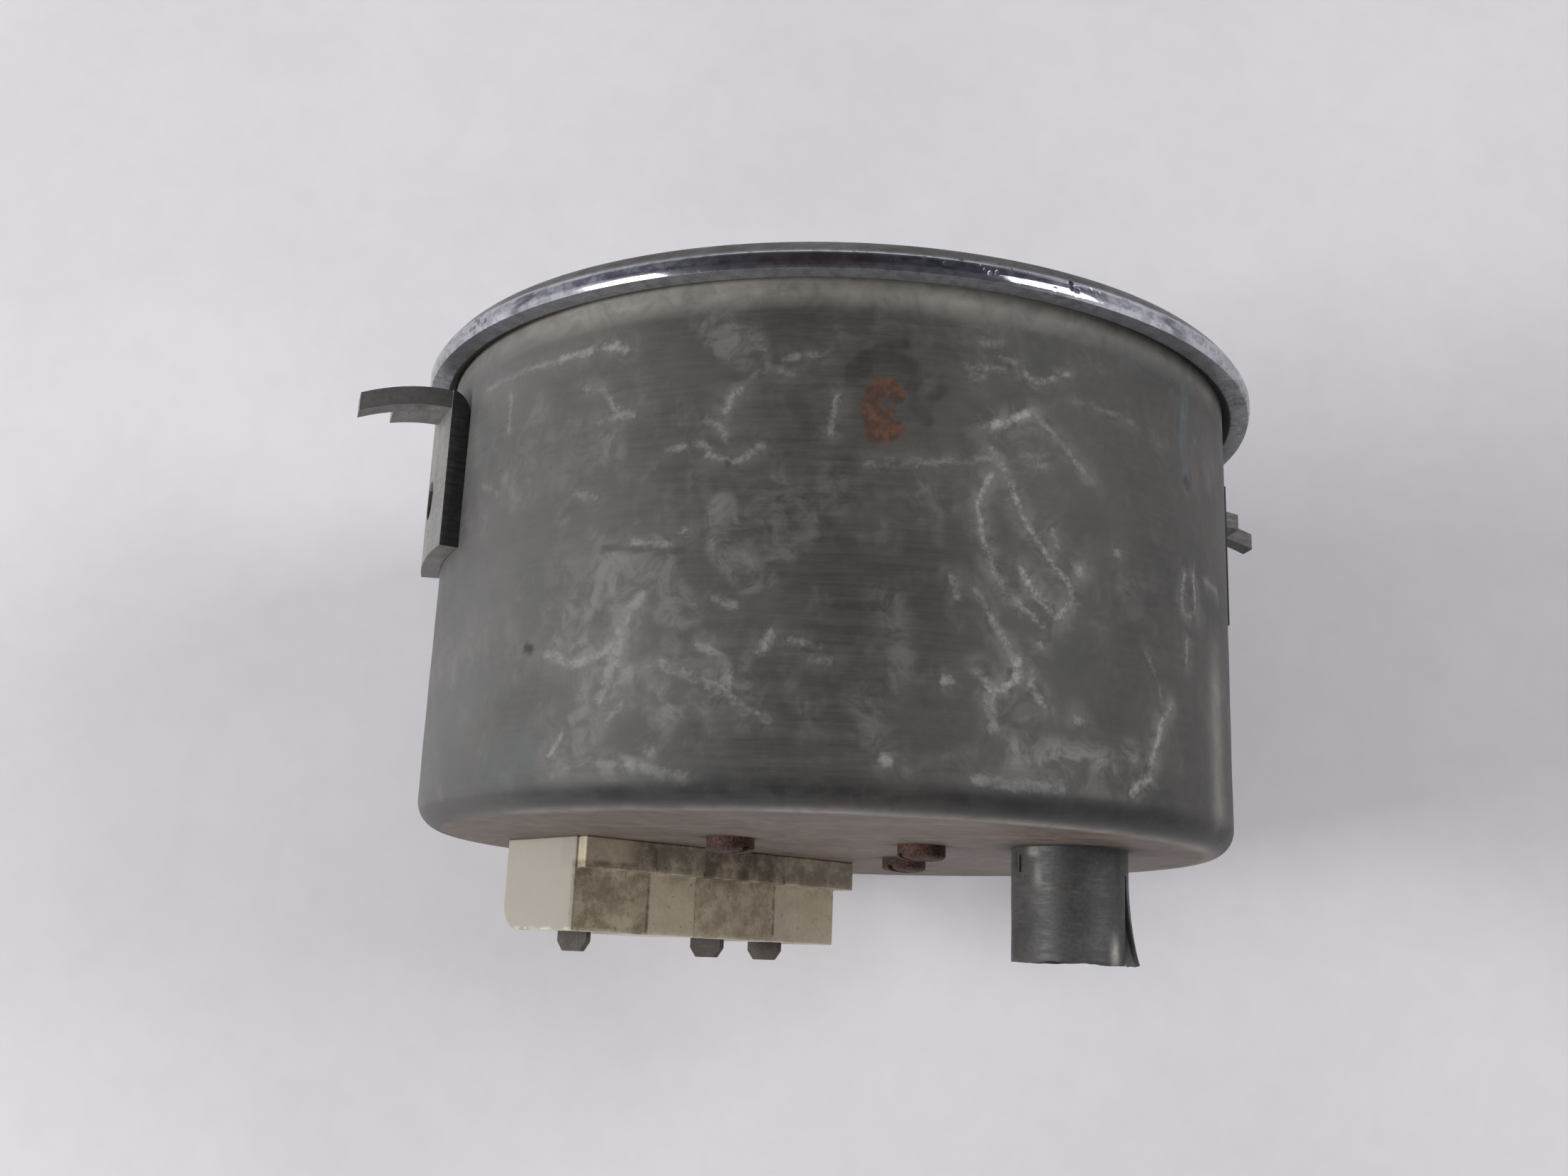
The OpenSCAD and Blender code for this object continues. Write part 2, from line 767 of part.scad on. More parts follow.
// Three screws that clamp the rear plate, the spacers and the board to the pillars
module carrier_screws() {
    color([0.6, 0.6, 0.6])
        for (at = pillar_at) {
            difference() {
                rod(at, rear_plate_y - 1.6, rear_plate_y, 2.6);
                translate([at[0] - 3, rear_plate_y - 2, at[1] - 0.35])
                    cube([6, 1.1, 0.7]);
            }
            rod(at, rear_plate_y - 0.5, board_back_y + screw_grip, screw_d / 2);
        }
}

module board_spacers() {
    color([0.72, 0.6, 0.32])
        for (at = pillar_at)
            difference() {
                rod(at, rear_plate_back_y, board_y, pillar_d / 2);
                rod(at, rear_plate_back_y - 1, board_y + 1, pillar_bore_r);
            }
}

// The round board, notched round the lamp tube and drilled for everything that passes through it
module circuit_board() {
    color([0.45, 0.33, 0.14])
        difference() {
            slab(board_y, board_t)
                difference() {
                    circle(r = board_d / 2, $fn = 180);
                    translate([tube_x, tube_z])
                        circle(r = tube_r + 2, $fn = 96);
                    for (at = pillar_at)
                        translate(at)
                            circle(r = pillar_bore_r, $fn = 48);
                    for (at = coil_pin_at())
                        translate(at)
                            circle(r = pin_d / 2 + coil_gap, $fn = 24);
                }
            in_connector()
                for (t = blade_places())
                    translate([t - blade_t / 2 - 0.1, board_y - 1, conn_w / 2 - tail_w / 2 - 0.1])
                        cube([blade_t + 0.2, board_t + 2, tail_w + 0.2]);
        }
}

// Three tapped pillars from the board to the can's back
module back_pillars() {
    color([0.72, 0.6, 0.32])
        for (at = pillar_at)
            difference() {
                rod(at, board_back_y, back_in_y, pillar_d / 2);
                rod(at, board_back_y - 1, board_back_y + screw_grip + tap_run, pillar_bore_r);
                rod(at, back_in_y - screw_grip - tap_run, back_in_y + 1, pillar_bore_r);
            }
}

// Three slotted screws in the back, with slightly rounded heads
module back_screws() {
    head_r = screw_head_d / 2;
    top = can_depth + screw_head_h;
    color([0.35, 0.2, 0.14])
        for (at = pillar_at) {
            translate([at[0], 0, at[1]])
                difference() {
                    turned(48)
                        polygon([
                            [0, can_depth], [head_r, can_depth], [head_r, top - 0.5],
                            [head_r - 0.5, top], [0, top]
                        ]);
                    rotate([0, 35 * at[0] + at[1], 0])
                        translate([-head_r - 1, top - 0.8, -0.4])
                            cube([2 * head_r + 2, 2, 0.8]);
                }
            rod(at, back_in_y - screw_grip, can_depth + 0.2, screw_d / 2);
        }
}

// Capacitors that stand on the board's rear face, each [across, up, radius]
module electrolytic_capacitors() {
    top = back_in_y - cap_room;
    color([0.12, 0.16, 0.3])
        for (c = [[cap_big_x, cap_big_z, cap_big_d / 2], [cap_small_x, cap_small_z, cap_small_d / 2]]) {
            rod([c[0], c[1]], board_back_y + stand_off, top, c[2]);
            for (s = [-1, 1])
                rod([c[0] + 0.35 * s * c[2], c[1]], board_back_y, board_back_y + 2 * stand_off, lead_r);
        }
}

module film_capacitor() {
    color([0.65, 0.22, 0.1])
        union() {
            translate([-film_w / 2, board_back_y + stand_off, film_z - film_t / 2])
                cube([film_w, bay - stand_off - film_room, film_t]);
            for (s = [-1, 1])
                rod([0.375 * film_w * s, film_z], board_back_y, board_back_y + 2 * stand_off, lead_r);
        }
}

// Five axial resistors in a row on the board's front face, with their leads bent down to it
module resistors() {
    r = resistor_d / 2;
    reach = resistor_len / 2 + 1.4;
    y = board_y - r - 0.4;
    color([0.72, 0.6, 0.42])
        for (i = [0:4]) {
            x = resistor_x + i * resistor_pitch;
            z = resistor_z - 0.8 * i * resistor_pitch;
            translate([x, y, z - resistor_len / 2])
                cylinder(h = resistor_len, r = r, $fn = 32);
            translate([x, y, z - reach - lead_r])
                cylinder(h = 2 * (reach + lead_r), r = lead_r + seat_gap, $fn = 24);
            for (s = [-1, 1])
                rod([x, z + reach * s], y, board_y, lead_r);
        }
}

// Two plastic transistors, flat on one side, on the board's rear face
module transistors() {
    legs = 3;
    color([0.06, 0.06, 0.06])
        for (i = [-1, 0]) {
            z = i * transistor_pitch;
            slab(board_back_y + legs, transistor_h)
                translate([transistor_x, z])
                    difference() {
                        circle(r = transistor_d / 2, $fn = 48);
                        translate([-transistor_d, 0.3 * transistor_d])
                            square([2 * transistor_d, transistor_d]);
                    }
            for (s = [-1:1])
                rod([transistor_x + transistor_d / 4 * s, z], board_back_y, board_back_y + legs + 0.2, lead_r);
        }
}

// A chip with two rows of seven legs
module integrated_circuit() {
    leg_w = 0.5;
    leg_pitch = (chip_len - 3.76) / 6;
    leg_row = chip_w / 2 + 0.2;
    color([0.05, 0.05, 0.06])
        union() {
            translate([chip_x - chip_len / 2, board_back_y + stand_off, chip_z - chip_w / 2])
                cube([chip_len, chip_h, chip_w]);
            for (i = [-3:3], s = [-1, 1])
                translate([chip_x + i * leg_pitch - leg_w / 2, board_back_y, chip_z + leg_row * s - leg_w / 2])
                    cube([leg_w, 2.4, leg_w]);
        }
}

// The trimmer that sets the full-scale reading, with its rotor facing the back
module trimmer_body() {
    low = board_back_y + free_gap;
    color([0.1, 0.2, 0.45])
        difference() {
            union() {
                translate([trimmer_x - trimmer_w / 2, low, trimmer_z - trimmer_w / 2])
                    cube([trimmer_w, trimmer_h, trimmer_w]);
                for (s = [-1:1])
                    rod([trimmer_x + 0.3 * s * trimmer_w, trimmer_z - 0.4 * trimmer_w],
                        board_back_y, board_back_y + 1, lead_r);
            }
            rod([trimmer_x, trimmer_z], low + 1.7, low + trimmer_h + 1, trimmer_rotor_d / 2 + bearing_gap);
            rod([trimmer_x, trimmer_z], low + 0.5, low + 2.7, 1 + bearing_gap);
        }
}

module trimmer_rotor() {
    low = board_back_y + free_gap;
    color([0.85, 0.85, 0.8])
        difference() {
            union() {
                rod([trimmer_x, trimmer_z], low + 1.7 + free_gap, low + trimmer_h + free_gap, trimmer_rotor_d / 2);
                rod([trimmer_x, trimmer_z], low + 0.7, low + 2.7, 1);
            }
            translate([trimmer_x - trimmer_rotor_d, low + trimmer_h - 0.5, trimmer_z - 0.35])
                cube([2 * trimmer_rotor_d, 2, 0.7]);
        }
}

// Puts children in the connector's own place: +X along its length, +Z across its width
module in_connector() {
    translate([conn_x, 0, conn_z])
        rotate([0, 180 - conn_turn, 0])
            children();
}

function blade_places() = [blade_1, blade_2, blade_3];

// The part of the housing that passes through the can's back, grown by a gap
module spigot(a, b, gap) {
    translate([spigot_in - gap, a, spigot_in - gap])
        cube([conn_len - 2 * (spigot_in - gap), b - a, conn_w - 2 * (spigot_in - gap)]);
}

// The moulded housing: a foot, a spigot and three open cells round the blades
module connector_housing() {
    floor_y = can_depth + cell_floor;
    color([0.86, 0.84, 0.76])
        in_connector()
            difference() {
                union() {
                    housing_length(0, crease_2, 0);
                    housing_length(crease_2, conn_len, conn_step);
                    translate([0.4, can_depth, -foot_reach])
                        cube([conn_len + 1.4, foot_t, conn_w + foot_reach]);
                    spigot(back_in_y - spigot_h, can_depth + 0.5, 0);
                }
                for (c = [[0, crease_1], [crease_2, crease_3], [crease_3, conn_len]])
                    translate([c[0] + conn_wall / 2 + 0.4, floor_y, conn_wall + conn_step])
                        cube([c[1] - c[0] - conn_wall - 0.8, conn_h, conn_w - 2 * conn_wall - conn_step]);
                for (t = blade_places())
                    translate([t, 0, conn_w / 2])
                        blade_shape(seat_gap);
            }
}

// A stretch of the housing's body, with its far rim edge rounded and its near face set back by inset
module housing_length(a, b, inset) {
    rim = can_depth + conn_h;
    translate([b, 0, 0])
        rotate([0, -90, 0])
            linear_extrude(b - a)
                difference() {
                    translate([inset, can_depth])
                        square([conn_w - inset, conn_h]);
                    translate([conn_w - conn_round, rim - conn_round])
                        corner(conn_round);
                }
}

// A blade with a chamfered tip, a wide flat part and a narrow tail to the board, grown by a gap
module blade_shape(gap) {
    tip = can_depth + blade_h;
    root = back_in_y - spigot_h + 0.6;
    half = blade_w / 2 + gap;
    tail = tail_w / 2 + gap;
    cut = 1.2;
    translate([blade_t / 2 + gap, 0, 0])
        rotate([0, -90, 0])
            linear_extrude(blade_t + 2 * gap)
                polygon([
                    [-tail, board_y - 1.2], [tail, board_y - 1.2], [tail, root - gap], [half, root - gap],
                    [half, tip - cut], [half - cut, tip], [cut - half, tip], [-half, tip - cut],
                    [-half, root - gap], [-tail, root - gap]
                ]);
}

module blade(t) {
    color([0.55, 0.53, 0.48])
        in_connector()
            translate([t, 0, conn_w / 2])
                blade_shape(0);
}

module blade_supply() {
    blade(blade_1);
}

module blade_ground() {
    blade(blade_2);
}

module blade_signal() {
    blade(blade_3);
}

// The lamp socket: a rolled tube with an inner flange, two slits that free a tongue, and a window at its root
module lamp_tube() {
    tongue_a = -158;
    tongue_b = -211;
    window_a = 22;
    color([0.5, 0.51, 0.5])
        translate([tube_x, 0, tube_z])
            difference() {
                turned(96)
                    union() {
                        band(tube_r - tube_wall, tube_r, back_in_y - tube_wall, tube_end_y);
                        band(tube_r - tube_wall, tube_r + tube_flange, back_in_y - tube_wall, back_in_y);
                    }
                for (a = [tongue_a, tongue_b])
                    tube_cut(a, can_depth + tube_whole, tube_h);
                tube_cut(window_a, can_depth + 0.8, 2);
            }
}

// A slit through the tube's wall at angle a, from station y over length len
module tube_cut(a, y, len) {
    rotate([0, -a, 0])
        translate([tube_r - 2, y, -tube_slit / 2])
            cube([4, len, tube_slit]);
}

// Angles of the two brackets above +X
function bracket_angles() = [bracket_angle, bracket_angle + bracket_apart];

// A radial cylinder along +X at the height of the rivet
module rivet_hole(a, b, r) {
    translate([a, rivet_y(), 0])
        rotate([0, 90, 0])
            cylinder(h = b - a, r = r, $fn = 48);
}

function rivet_y() = (ear_setback + bracket_t + leg_end) / 2 + 0.9;

// The ear's profile as [reach, station] points: a round bend out of the leg, then a slight bow to the back
module ear_profile(reach) {
    bend_x = leg_in_r + bend_r + 0.1;
    bend_y = ear_setback + bend_r;
    first = 180 + asin((bend_r - bracket_t) / bend_r);
    bend = [for (i = [0:8])
        let (a = first + (270 - first) * i / 8)
            [bend_x + bend_r * cos(a), bend_y + bend_r * sin(a)]];
    bow = [for (i = [1:8])
        let (r = bend_x + (reach - bend_x) * i / 8)
            [r, ear_setback + ear_bow * pow((r - bend_x) / (finger_reach - bend_x), 2)]];
    rear = [for (i = [7:-1:0]) [bow[i][0], bow[i][1] + bracket_t]];
    polygon(concat(bend, bow, rear));
}

// The ear's profile drawn out from width a to width b across the bracket
module ear_strip(reach, a, b) {
    translate([0, 0, a])
        linear_extrude(b - a)
            ear_profile(reach);
}

// The section of the leg, with the bend's outer corner rounded
module leg_profile() {
    difference() {
        band(leg_in_r, leg_r, ear_setback, leg_end);
        translate([leg_in_r + bend_r, ear_setback + bend_r])
            rotate(180)
                corner(bend_r);
    }
}

// A bracket whose rivet lies on +X: a curved leg on the can and a stepped ear at its upper side
module bracket() {
    near = leg_r * sin(leg_half_angle);
    color([0.42, 0.42, 0.4])
        difference() {
            union() {
                turned_arc(-leg_half_angle, leg_half_angle)
                    leg_profile();
                ear_strip(step_reach, near - ear_w, near - 0.5);
                ear_strip(finger_reach, near - finger_w, near - 0.2);
            }
            rivet_hole(can_r - 1, can_r + 5, rivet_d / 2 + seat_gap);
            rivet_hole(leg_in_r + bracket_t / 2, can_r + 5, leg_hole_d / 2);
        }
}

module bracket_left() {
    rotate([0, -bracket_angle, 0])
        bracket();
}

module bracket_right() {
    rotate([0, -bracket_angle - bracket_apart, 0])
        bracket();
}

// Two rivets, headed inside the can and set over in the leg's counterbore
module bracket_rivets() {
    color([0.33, 0.2, 0.13])
        for (a = bracket_angles())
            rotate([0, -a, 0])
                union() {
                    difference() {
                        rivet_hole(can_in_r - 1.4, can_r, rivet_head_d / 2);
                        turned()
                            band(can_in_r - seat_gap, can_r + 1, 0, can_depth);
                    }
                    rivet_hole(can_in_r - 1, leg_in_r + bracket_t / 2 + 0.2, rivet_d / 2);
                    rivet_hole(leg_in_r + bracket_t / 2 + 0.05, leg_r - 0.4, leg_hole_d / 2 - 0.3);
                }
}

can();
bezel();
glass();
glass_gasket();
visor_ring();
dial_plate();
dial_screws();
pointer_stops();
pointer();
pointer_hub();
balance_weight();
spindle();
rotor_magnet();
hairspring_collet();
hairspring();
hairspring_peg();
front_plate();
dial_pillars();
rear_plate();
frame_posts();
shield_cup();
bobbin_front();
bobbin_rear();
front_bearing();
rear_bearing();
inner_coil();
outer_coil();
coil_pins();
carrier_screws();
board_spacers();
circuit_board();
back_pillars();
back_screws();
electrolytic_capacitors();
film_capacitor();
resistors();
transistors();
integrated_circuit();
trimmer_body();
trimmer_rotor();
connector_housing();
blade_supply();
blade_ground();
blade_signal();
lamp_tube();
bracket_left();
bracket_right();
bracket_rivets();
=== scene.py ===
"""Looks of the tachometer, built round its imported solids.

The instrument's axis is Y, its dial faces -Y and 12 o'clock is +Z. Shapes are worked out in millimetres and go into
their meshes in metres. Angles are in degrees. Round the axis they start at +X and grow towards +Z, but the dial's own
start at 12 o'clock and grow clockwise as seen from the front.
"""

import math

import bmesh
import bpy
import numpy as np
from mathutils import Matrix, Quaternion, Vector


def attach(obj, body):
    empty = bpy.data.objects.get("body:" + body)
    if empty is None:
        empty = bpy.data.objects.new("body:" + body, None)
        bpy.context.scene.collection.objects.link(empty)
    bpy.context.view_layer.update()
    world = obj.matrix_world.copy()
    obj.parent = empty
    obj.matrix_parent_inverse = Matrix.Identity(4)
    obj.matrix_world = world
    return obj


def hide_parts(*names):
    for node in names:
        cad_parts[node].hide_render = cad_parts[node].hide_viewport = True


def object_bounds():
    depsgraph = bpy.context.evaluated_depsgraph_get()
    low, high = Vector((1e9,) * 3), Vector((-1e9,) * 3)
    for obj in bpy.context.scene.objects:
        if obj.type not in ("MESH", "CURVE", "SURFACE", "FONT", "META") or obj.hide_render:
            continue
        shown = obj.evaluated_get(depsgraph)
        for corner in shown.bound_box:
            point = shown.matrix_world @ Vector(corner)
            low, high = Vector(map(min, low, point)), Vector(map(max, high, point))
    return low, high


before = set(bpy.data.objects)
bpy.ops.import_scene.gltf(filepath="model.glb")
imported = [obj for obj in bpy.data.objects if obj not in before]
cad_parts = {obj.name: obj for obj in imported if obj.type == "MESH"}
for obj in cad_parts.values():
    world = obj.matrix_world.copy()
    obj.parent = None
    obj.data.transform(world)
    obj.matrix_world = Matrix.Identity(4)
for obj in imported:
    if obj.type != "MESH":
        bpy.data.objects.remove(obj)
cad_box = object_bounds()

MM = 0.001

# Radii and stations of the can, the bezel and the dial
CAN_R = 50.0
CAN_IN_R = 49.0
FLANGE_R = 51.7
FLANGE_Y = -1.7
BACK_Y = 54.2
BACK_ROUND = 3.2
BACK_IN_ROUND = 2.2
BEZEL_Y = -5.2
BEZEL_R = 53.4
BEZEL_LIP_R = 50.1
NOSE_R = 52.3
RIDGE_Y = -1.7
WINDOW_R = 46.0
GLASS_R = 48.8
GLASS_Y = -4.5
GLASS_BACK_Y = -2.9
VISOR_R = 46.4
DIAL_Y = 5.0
POINTER_Y = 2.3
REST_ANGLE = -120.0
SWEEP = 240.0
SCREWS_AT = ((-11.3, 12.3), (11.3, 12.3), (-11.3, -9.6))
RIVET_ANGLES = (18.5, 188.5)
CAN_MM_PER_DEGREE = CAN_R * math.pi / 180

# The lamp tube: its axis in the back's plane, its outside, its length beyond the back and the angles of its openings
TUBE_AT = (-28.5, 14.0)
TUBE_R = 6.75
TUBE_LENGTH = 13.0
TUBE_WALL = 0.6
TUBE_SLITS = (-158.0, 149.0)
TUBE_WINDOW = 22.0
OPENING_HALF = 2.2

# The connector's corner in the back's plane, its directions along and across, as (x, z), and where its panels meet
CONN_AT = (30.0, 7.0)
CONN_ALONG = (-0.7547, -0.6561)
CONN_ACROSS = (0.6561, -0.7547)
CONN_CREASES = (11.3, 19.0, 32.7)

# A back screw's head
HEAD_R = 2.85
HEAD_HEIGHT = 1.8
HEAD_SLOT = 0.8


# Surfaces

def woven(rows, columns, wrap_rows=False, wrap_columns=False):
    """Quads over a grid of points: each point joins its next column and next row, and a wrapped side joins its last
    line to its first."""
    i = np.arange(rows if wrap_rows else rows - 1)[:, None]
    j = np.arange(columns if wrap_columns else columns - 1)[None, :]
    down, right = (i + 1) % rows, (j + 1) % columns
    corners = (i * columns + j, i * columns + right, down * columns + right, down * columns + j)
    return np.stack([np.broadcast_to(c, (i.size, j.size)) for c in corners], -1).reshape(-1, 4)


def fitted(corners, ease, steps=5):
    """A closed profile with its corners eased: each becomes a parabola that meets both sides at the given distance."""
    c = np.asarray(corners, float)
    back, on = np.roll(c, 1, 0) - c, np.roll(c, -1, 0) - c
    reach = np.broadcast_to(np.asarray(ease, float), len(c))[:, None]
    start = c + back / np.linalg.norm(back, axis=1)[:, None] * reach
    end = c + on / np.linalg.norm(on, axis=1)[:, None] * reach
    t = np.linspace(0, 1, steps)[None, :, None]
    curve = (1 - t) ** 2 * start[:, None] + 2 * t * (1 - t) * c[:, None] + t**2 * end[:, None]
    return curve.reshape(-1, 2)


def stepped(profile, step):
    """The same profile with no span longer than step: each span is cut into equal parts."""
    p = np.asarray(profile, float)
    lengths = np.linalg.norm(np.diff(p, axis=0), axis=1)
    parts = np.maximum(1, np.ceil(lengths / step)).astype(int)
    places = np.concatenate([i + np.arange(n) / n for i, n in enumerate(parts)] + [[len(p) - 1.0]])
    index = np.arange(len(p))
    return np.stack([np.interp(places, index, p[:, 0]), np.interp(places, index, p[:, 1])], 1)


def swung(profile, angles):
    """Points of a turned surface: (r cos a, y, r sin a) for each (r, y) of the profile and each angle a."""
    r, y = np.asarray(profile, float).T
    a = np.radians(angles)[None, :]
    return np.stack([r[:, None] * np.cos(a), np.broadcast_to(y[:, None], (len(r), a.size)), r[:, None] * np.sin(a)], -1)


def turned(profile, step, closed):
    """A profile turned about the axis every step degrees, as (points, faces). A closed one joins its last point to its
    first."""
    points = swung(profile, np.arange(0, 360, step))
    return points, woven(*points.shape[:2], closed, True)


def spun(points, angle, at=(0.0, 0.0)):
    """Points turned about the axis, clockwise as seen from the front, to (x cos a + z sin a, y, z cos a - x sin a), and
    moved by at, as (x, z)."""
    c, s = math.cos(math.radians(angle)), math.sin(math.radians(angle))
    x, y, z = points[..., 0], points[..., 1], points[..., 2]
    return np.stack([x * c + z * s + at[0], y, z * c - x * s + at[1]], -1)


def joined(parts):
    """Several (points, faces) lumps as one: each lump's faces are shifted by the points before it."""
    shifts = np.cumsum([0] + [len(p) for p, f in parts[:-1]])
    return np.concatenate([p for p, f in parts]), np.concatenate([f + s for (p, f), s in zip(parts, shifts)])


# Meshes and pieces

def merged(mesh, reach, flat=None):
    """Merges points within reach metres of each other. Where flat is given, faces that meet at less than that angle
    become one."""
    made = bmesh.new()
    made.from_mesh(mesh)
    bmesh.ops.remove_doubles(made, verts=made.verts, dist=reach)
    if flat is not None:
        bmesh.ops.dissolve_limit(made, angle_limit=math.radians(flat), verts=made.verts, edges=made.edges)
    made.to_mesh(mesh)
    made.free()


def brush_on(mesh, label, values, where="POINT"):
    """Paints four values on each of the mesh's points or corners, under a name that its finish reads."""
    layer = mesh.color_attributes.new(label, "FLOAT_COLOR", where)
    layer.data.foreach_set("color", np.asarray(values, np.float32).ravel())


def dressed(name, mesh, finish, body, stands_for, slot, crease):
    """An object for a finished mesh, with its finish, the body it rides and the node it stands for."""
    mesh.shade_smooth()
    mesh.set_sharp_from_angle(angle=math.radians(crease))
    mesh.materials.clear()
    mesh.materials.append(finish)
    made = bpy.data.objects.new(name, mesh)
    bpy.context.scene.collection.objects.link(made)
    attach(made, body)
    if stands_for:
        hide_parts(*stands_for)
    return made


def piece(name, points, faces, finish, body="case", stands_for=(), slot=None, wear_and_shading=None, crease=35, weld=False):
    """A mesh piece from points in millimetres and faces of three or four points, turned so that its faces point
    outwards. Its volume is the sum over the faces of a . (b x c) / 6, and where that is below zero every face is
    reversed. The wear function, when given, gives the values to paint on the points, painted light and shade among
    them, and weld merges points that coincide."""
    at = np.asarray(points, float).reshape(-1, 3) * MM
    f = np.asarray(faces)
    a, b, c = at[f[:, 0]], at[f[:, 1]], at[f[:, 2]]
    volume = np.einsum("ij,ij->", a, np.cross(b, c))
    if f.shape[1] == 4:
        volume += np.einsum("ij,ij->", a, np.cross(c, at[f[:, 3]]))
    if volume < 0:
        f = f[:, ::-1]
    mesh = bpy.data.meshes.new(name)
    mesh.from_pydata(at.tolist(), [], f.tolist())
    for label, values in (wear_and_shading(points) if wear_and_shading else {}).items():
        brush_on(mesh, label, values)
    if weld:
        merged(mesh, 1e-7)
    return dressed(name, mesh, finish, body, stands_for, slot, crease)


def bevelled(made, width, steps, angle):
    """Rounds the piece's edges that are sharper than angle over width millimetres."""
    bevel = made.modifiers.new("eased edges", "BEVEL")
    bevel.width = width * MM
    bevel.segments = steps
    bevel.limit_method = "ANGLE"
    bevel.angle_limit = math.radians(angle)
    return bevel


def eased_edges(node, name, width, finish, slot, steps=2):
    """A copy of a node with its doubled points merged and its sharp edges rounded over width millimetres."""
    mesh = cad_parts[node].data.copy()
    merged(mesh, 1e-6, flat=1.0)
    copy = dressed(name, mesh, finish, "case", (node,), slot, 40)
    bevelled(copy, width, steps, 40).harden_normals = True
    return copy


# Wear, worked out for each point from short lists of marks

def ripple(u, v, seed):
    """A smooth, repeatable unevenness between about -1 and 1: a sum of sine waves in directions and phases drawn from
    the seed."""
    draw = np.random.default_rng(seed)
    total = 0
    for n in range(7):
        angle, phase = draw.uniform(0, 2 * math.pi, 2)
        pitch = 0.05 * 1.5**n
        way = u * math.cos(angle) + v * math.sin(angle)
        total = total + np.sin(way * 2 * math.pi * pitch + phase) / (1 + 0.6 * n)
    return total / 2.2


def bell(*humps):
    """A smooth hump: e to the minus sum of ((value - middle) / width)^2 over the given (value, middle, width)."""
    return np.exp(-sum(((value - middle) / width) ** 2 for value, middle, width in humps))


def rise(value, start, span):
    """Grows straight from 0 at start to 1 at start + span, and stays inside 0 and 1. A negative span falls instead."""
    return np.clip((value - start) / span, 0, 1)


def round_axis(x, z):
    """The angle, from 0 to 360, and the radius of each point about the axis."""
    return np.degrees(np.arctan2(z, x)) % 360, np.hypot(x, z)


def channels(red, green, blue):
    """Three values for each point as a colour to paint, with a full fourth one."""
    return np.stack(np.broadcast_arrays(red, green, blue, 1.0), 1)


def spans(u, v, marks, per_degree, margin):
    """For each straight span of each mark: the points near it, their distance to it, and the mark's width, strength and
    reach. A mark is (width, strength, line), and reaches half its width and its margin from its line."""
    for width, strength, line in marks:
        path = np.array(line, float) * (per_degree, 1.0)
        reach = width / 2 + margin(width)
        for (ua, va), (ub, vb) in zip(path[:-1], path[1:]):
            beside_u = (u > min(ua, ub) - reach) & (u < max(ua, ub) + reach)
            near = np.nonzero(beside_u & (v > min(va, vb) - reach) & (v < max(va, vb) + reach))[0]
            du, dv = ub - ua, vb - va
            t = np.clip(((u[near] - ua) * du + (v[near] - va) * dv) / max(du * du + dv * dv, 1e-9), 0, 1)
            gap = np.hypot(u[near] - ua - t * du, v[near] - va - t * dv)
            yield near, gap, width, strength, reach


def smooth(share):
    """The smooth step 3 s^2 - 2 s^3 of a share s between 0 and 1."""
    return share * share * (3 - 2 * share)


def brushed(u, v, marks, per_degree=CAN_MM_PER_DEGREE):
    """For each point, the strength of the strongest mark over it. A mark fades over its edge."""
    def fade(width):
        """How far a mark's edge fades."""
        return 0.22 + 0.3 * width

    mask = np.zeros(len(u))
    for near, gap, width, strength, reach in spans(u, v, marks, per_degree, fade):
        mask[near] = np.maximum(mask[near], strength * smooth(np.clip((reach - gap) / fade(width), 0, 1)))
    return mask


NARROW_MARK = 1.2
MARK_EDGE = 0.9
HAZE_REACH = 2.4


def scratched(u, v, marks):
    """Three values for each point. Of the nearest narrow mark: how far inside its edge the point lies, as
    1 + (width / 2 - gap) / 0.9 where gap is the distance to the mark's line, held between 0 and 1.5 and then divided by
    1.5, and its strength. Of all marks: a haze that fades from the line outwards, weaker round the narrow ones."""
    u, v = u + 0.3 * ripple(1.5 * u, 1.5 * v, 61), v + 0.3 * ripple(1.5 * u, 1.5 * v, 62)
    inside, strength, haze = np.zeros((3, len(u)))
    deepest = 1.5
    for near, gap, width, force, reach in spans(u, v, marks, CAN_MM_PER_DEGREE, lambda width: HAZE_REACH):
        narrow = width <= NARROW_MARK
        soft = smooth(np.clip(1 - gap / reach, 0, 1))
        haze[near] = np.maximum(haze[near], (0.6 if narrow else 1.0) * force * soft)
        if narrow:
            depth = np.clip(1 + (width / 2 - gap) / MARK_EDGE, 0, deepest)
            closer = depth > inside[near]
            inside[near] = np.where(closer, depth, inside[near])
            strength[near] = np.where(closer, force, strength[near])
    return inside / deepest, strength, haze


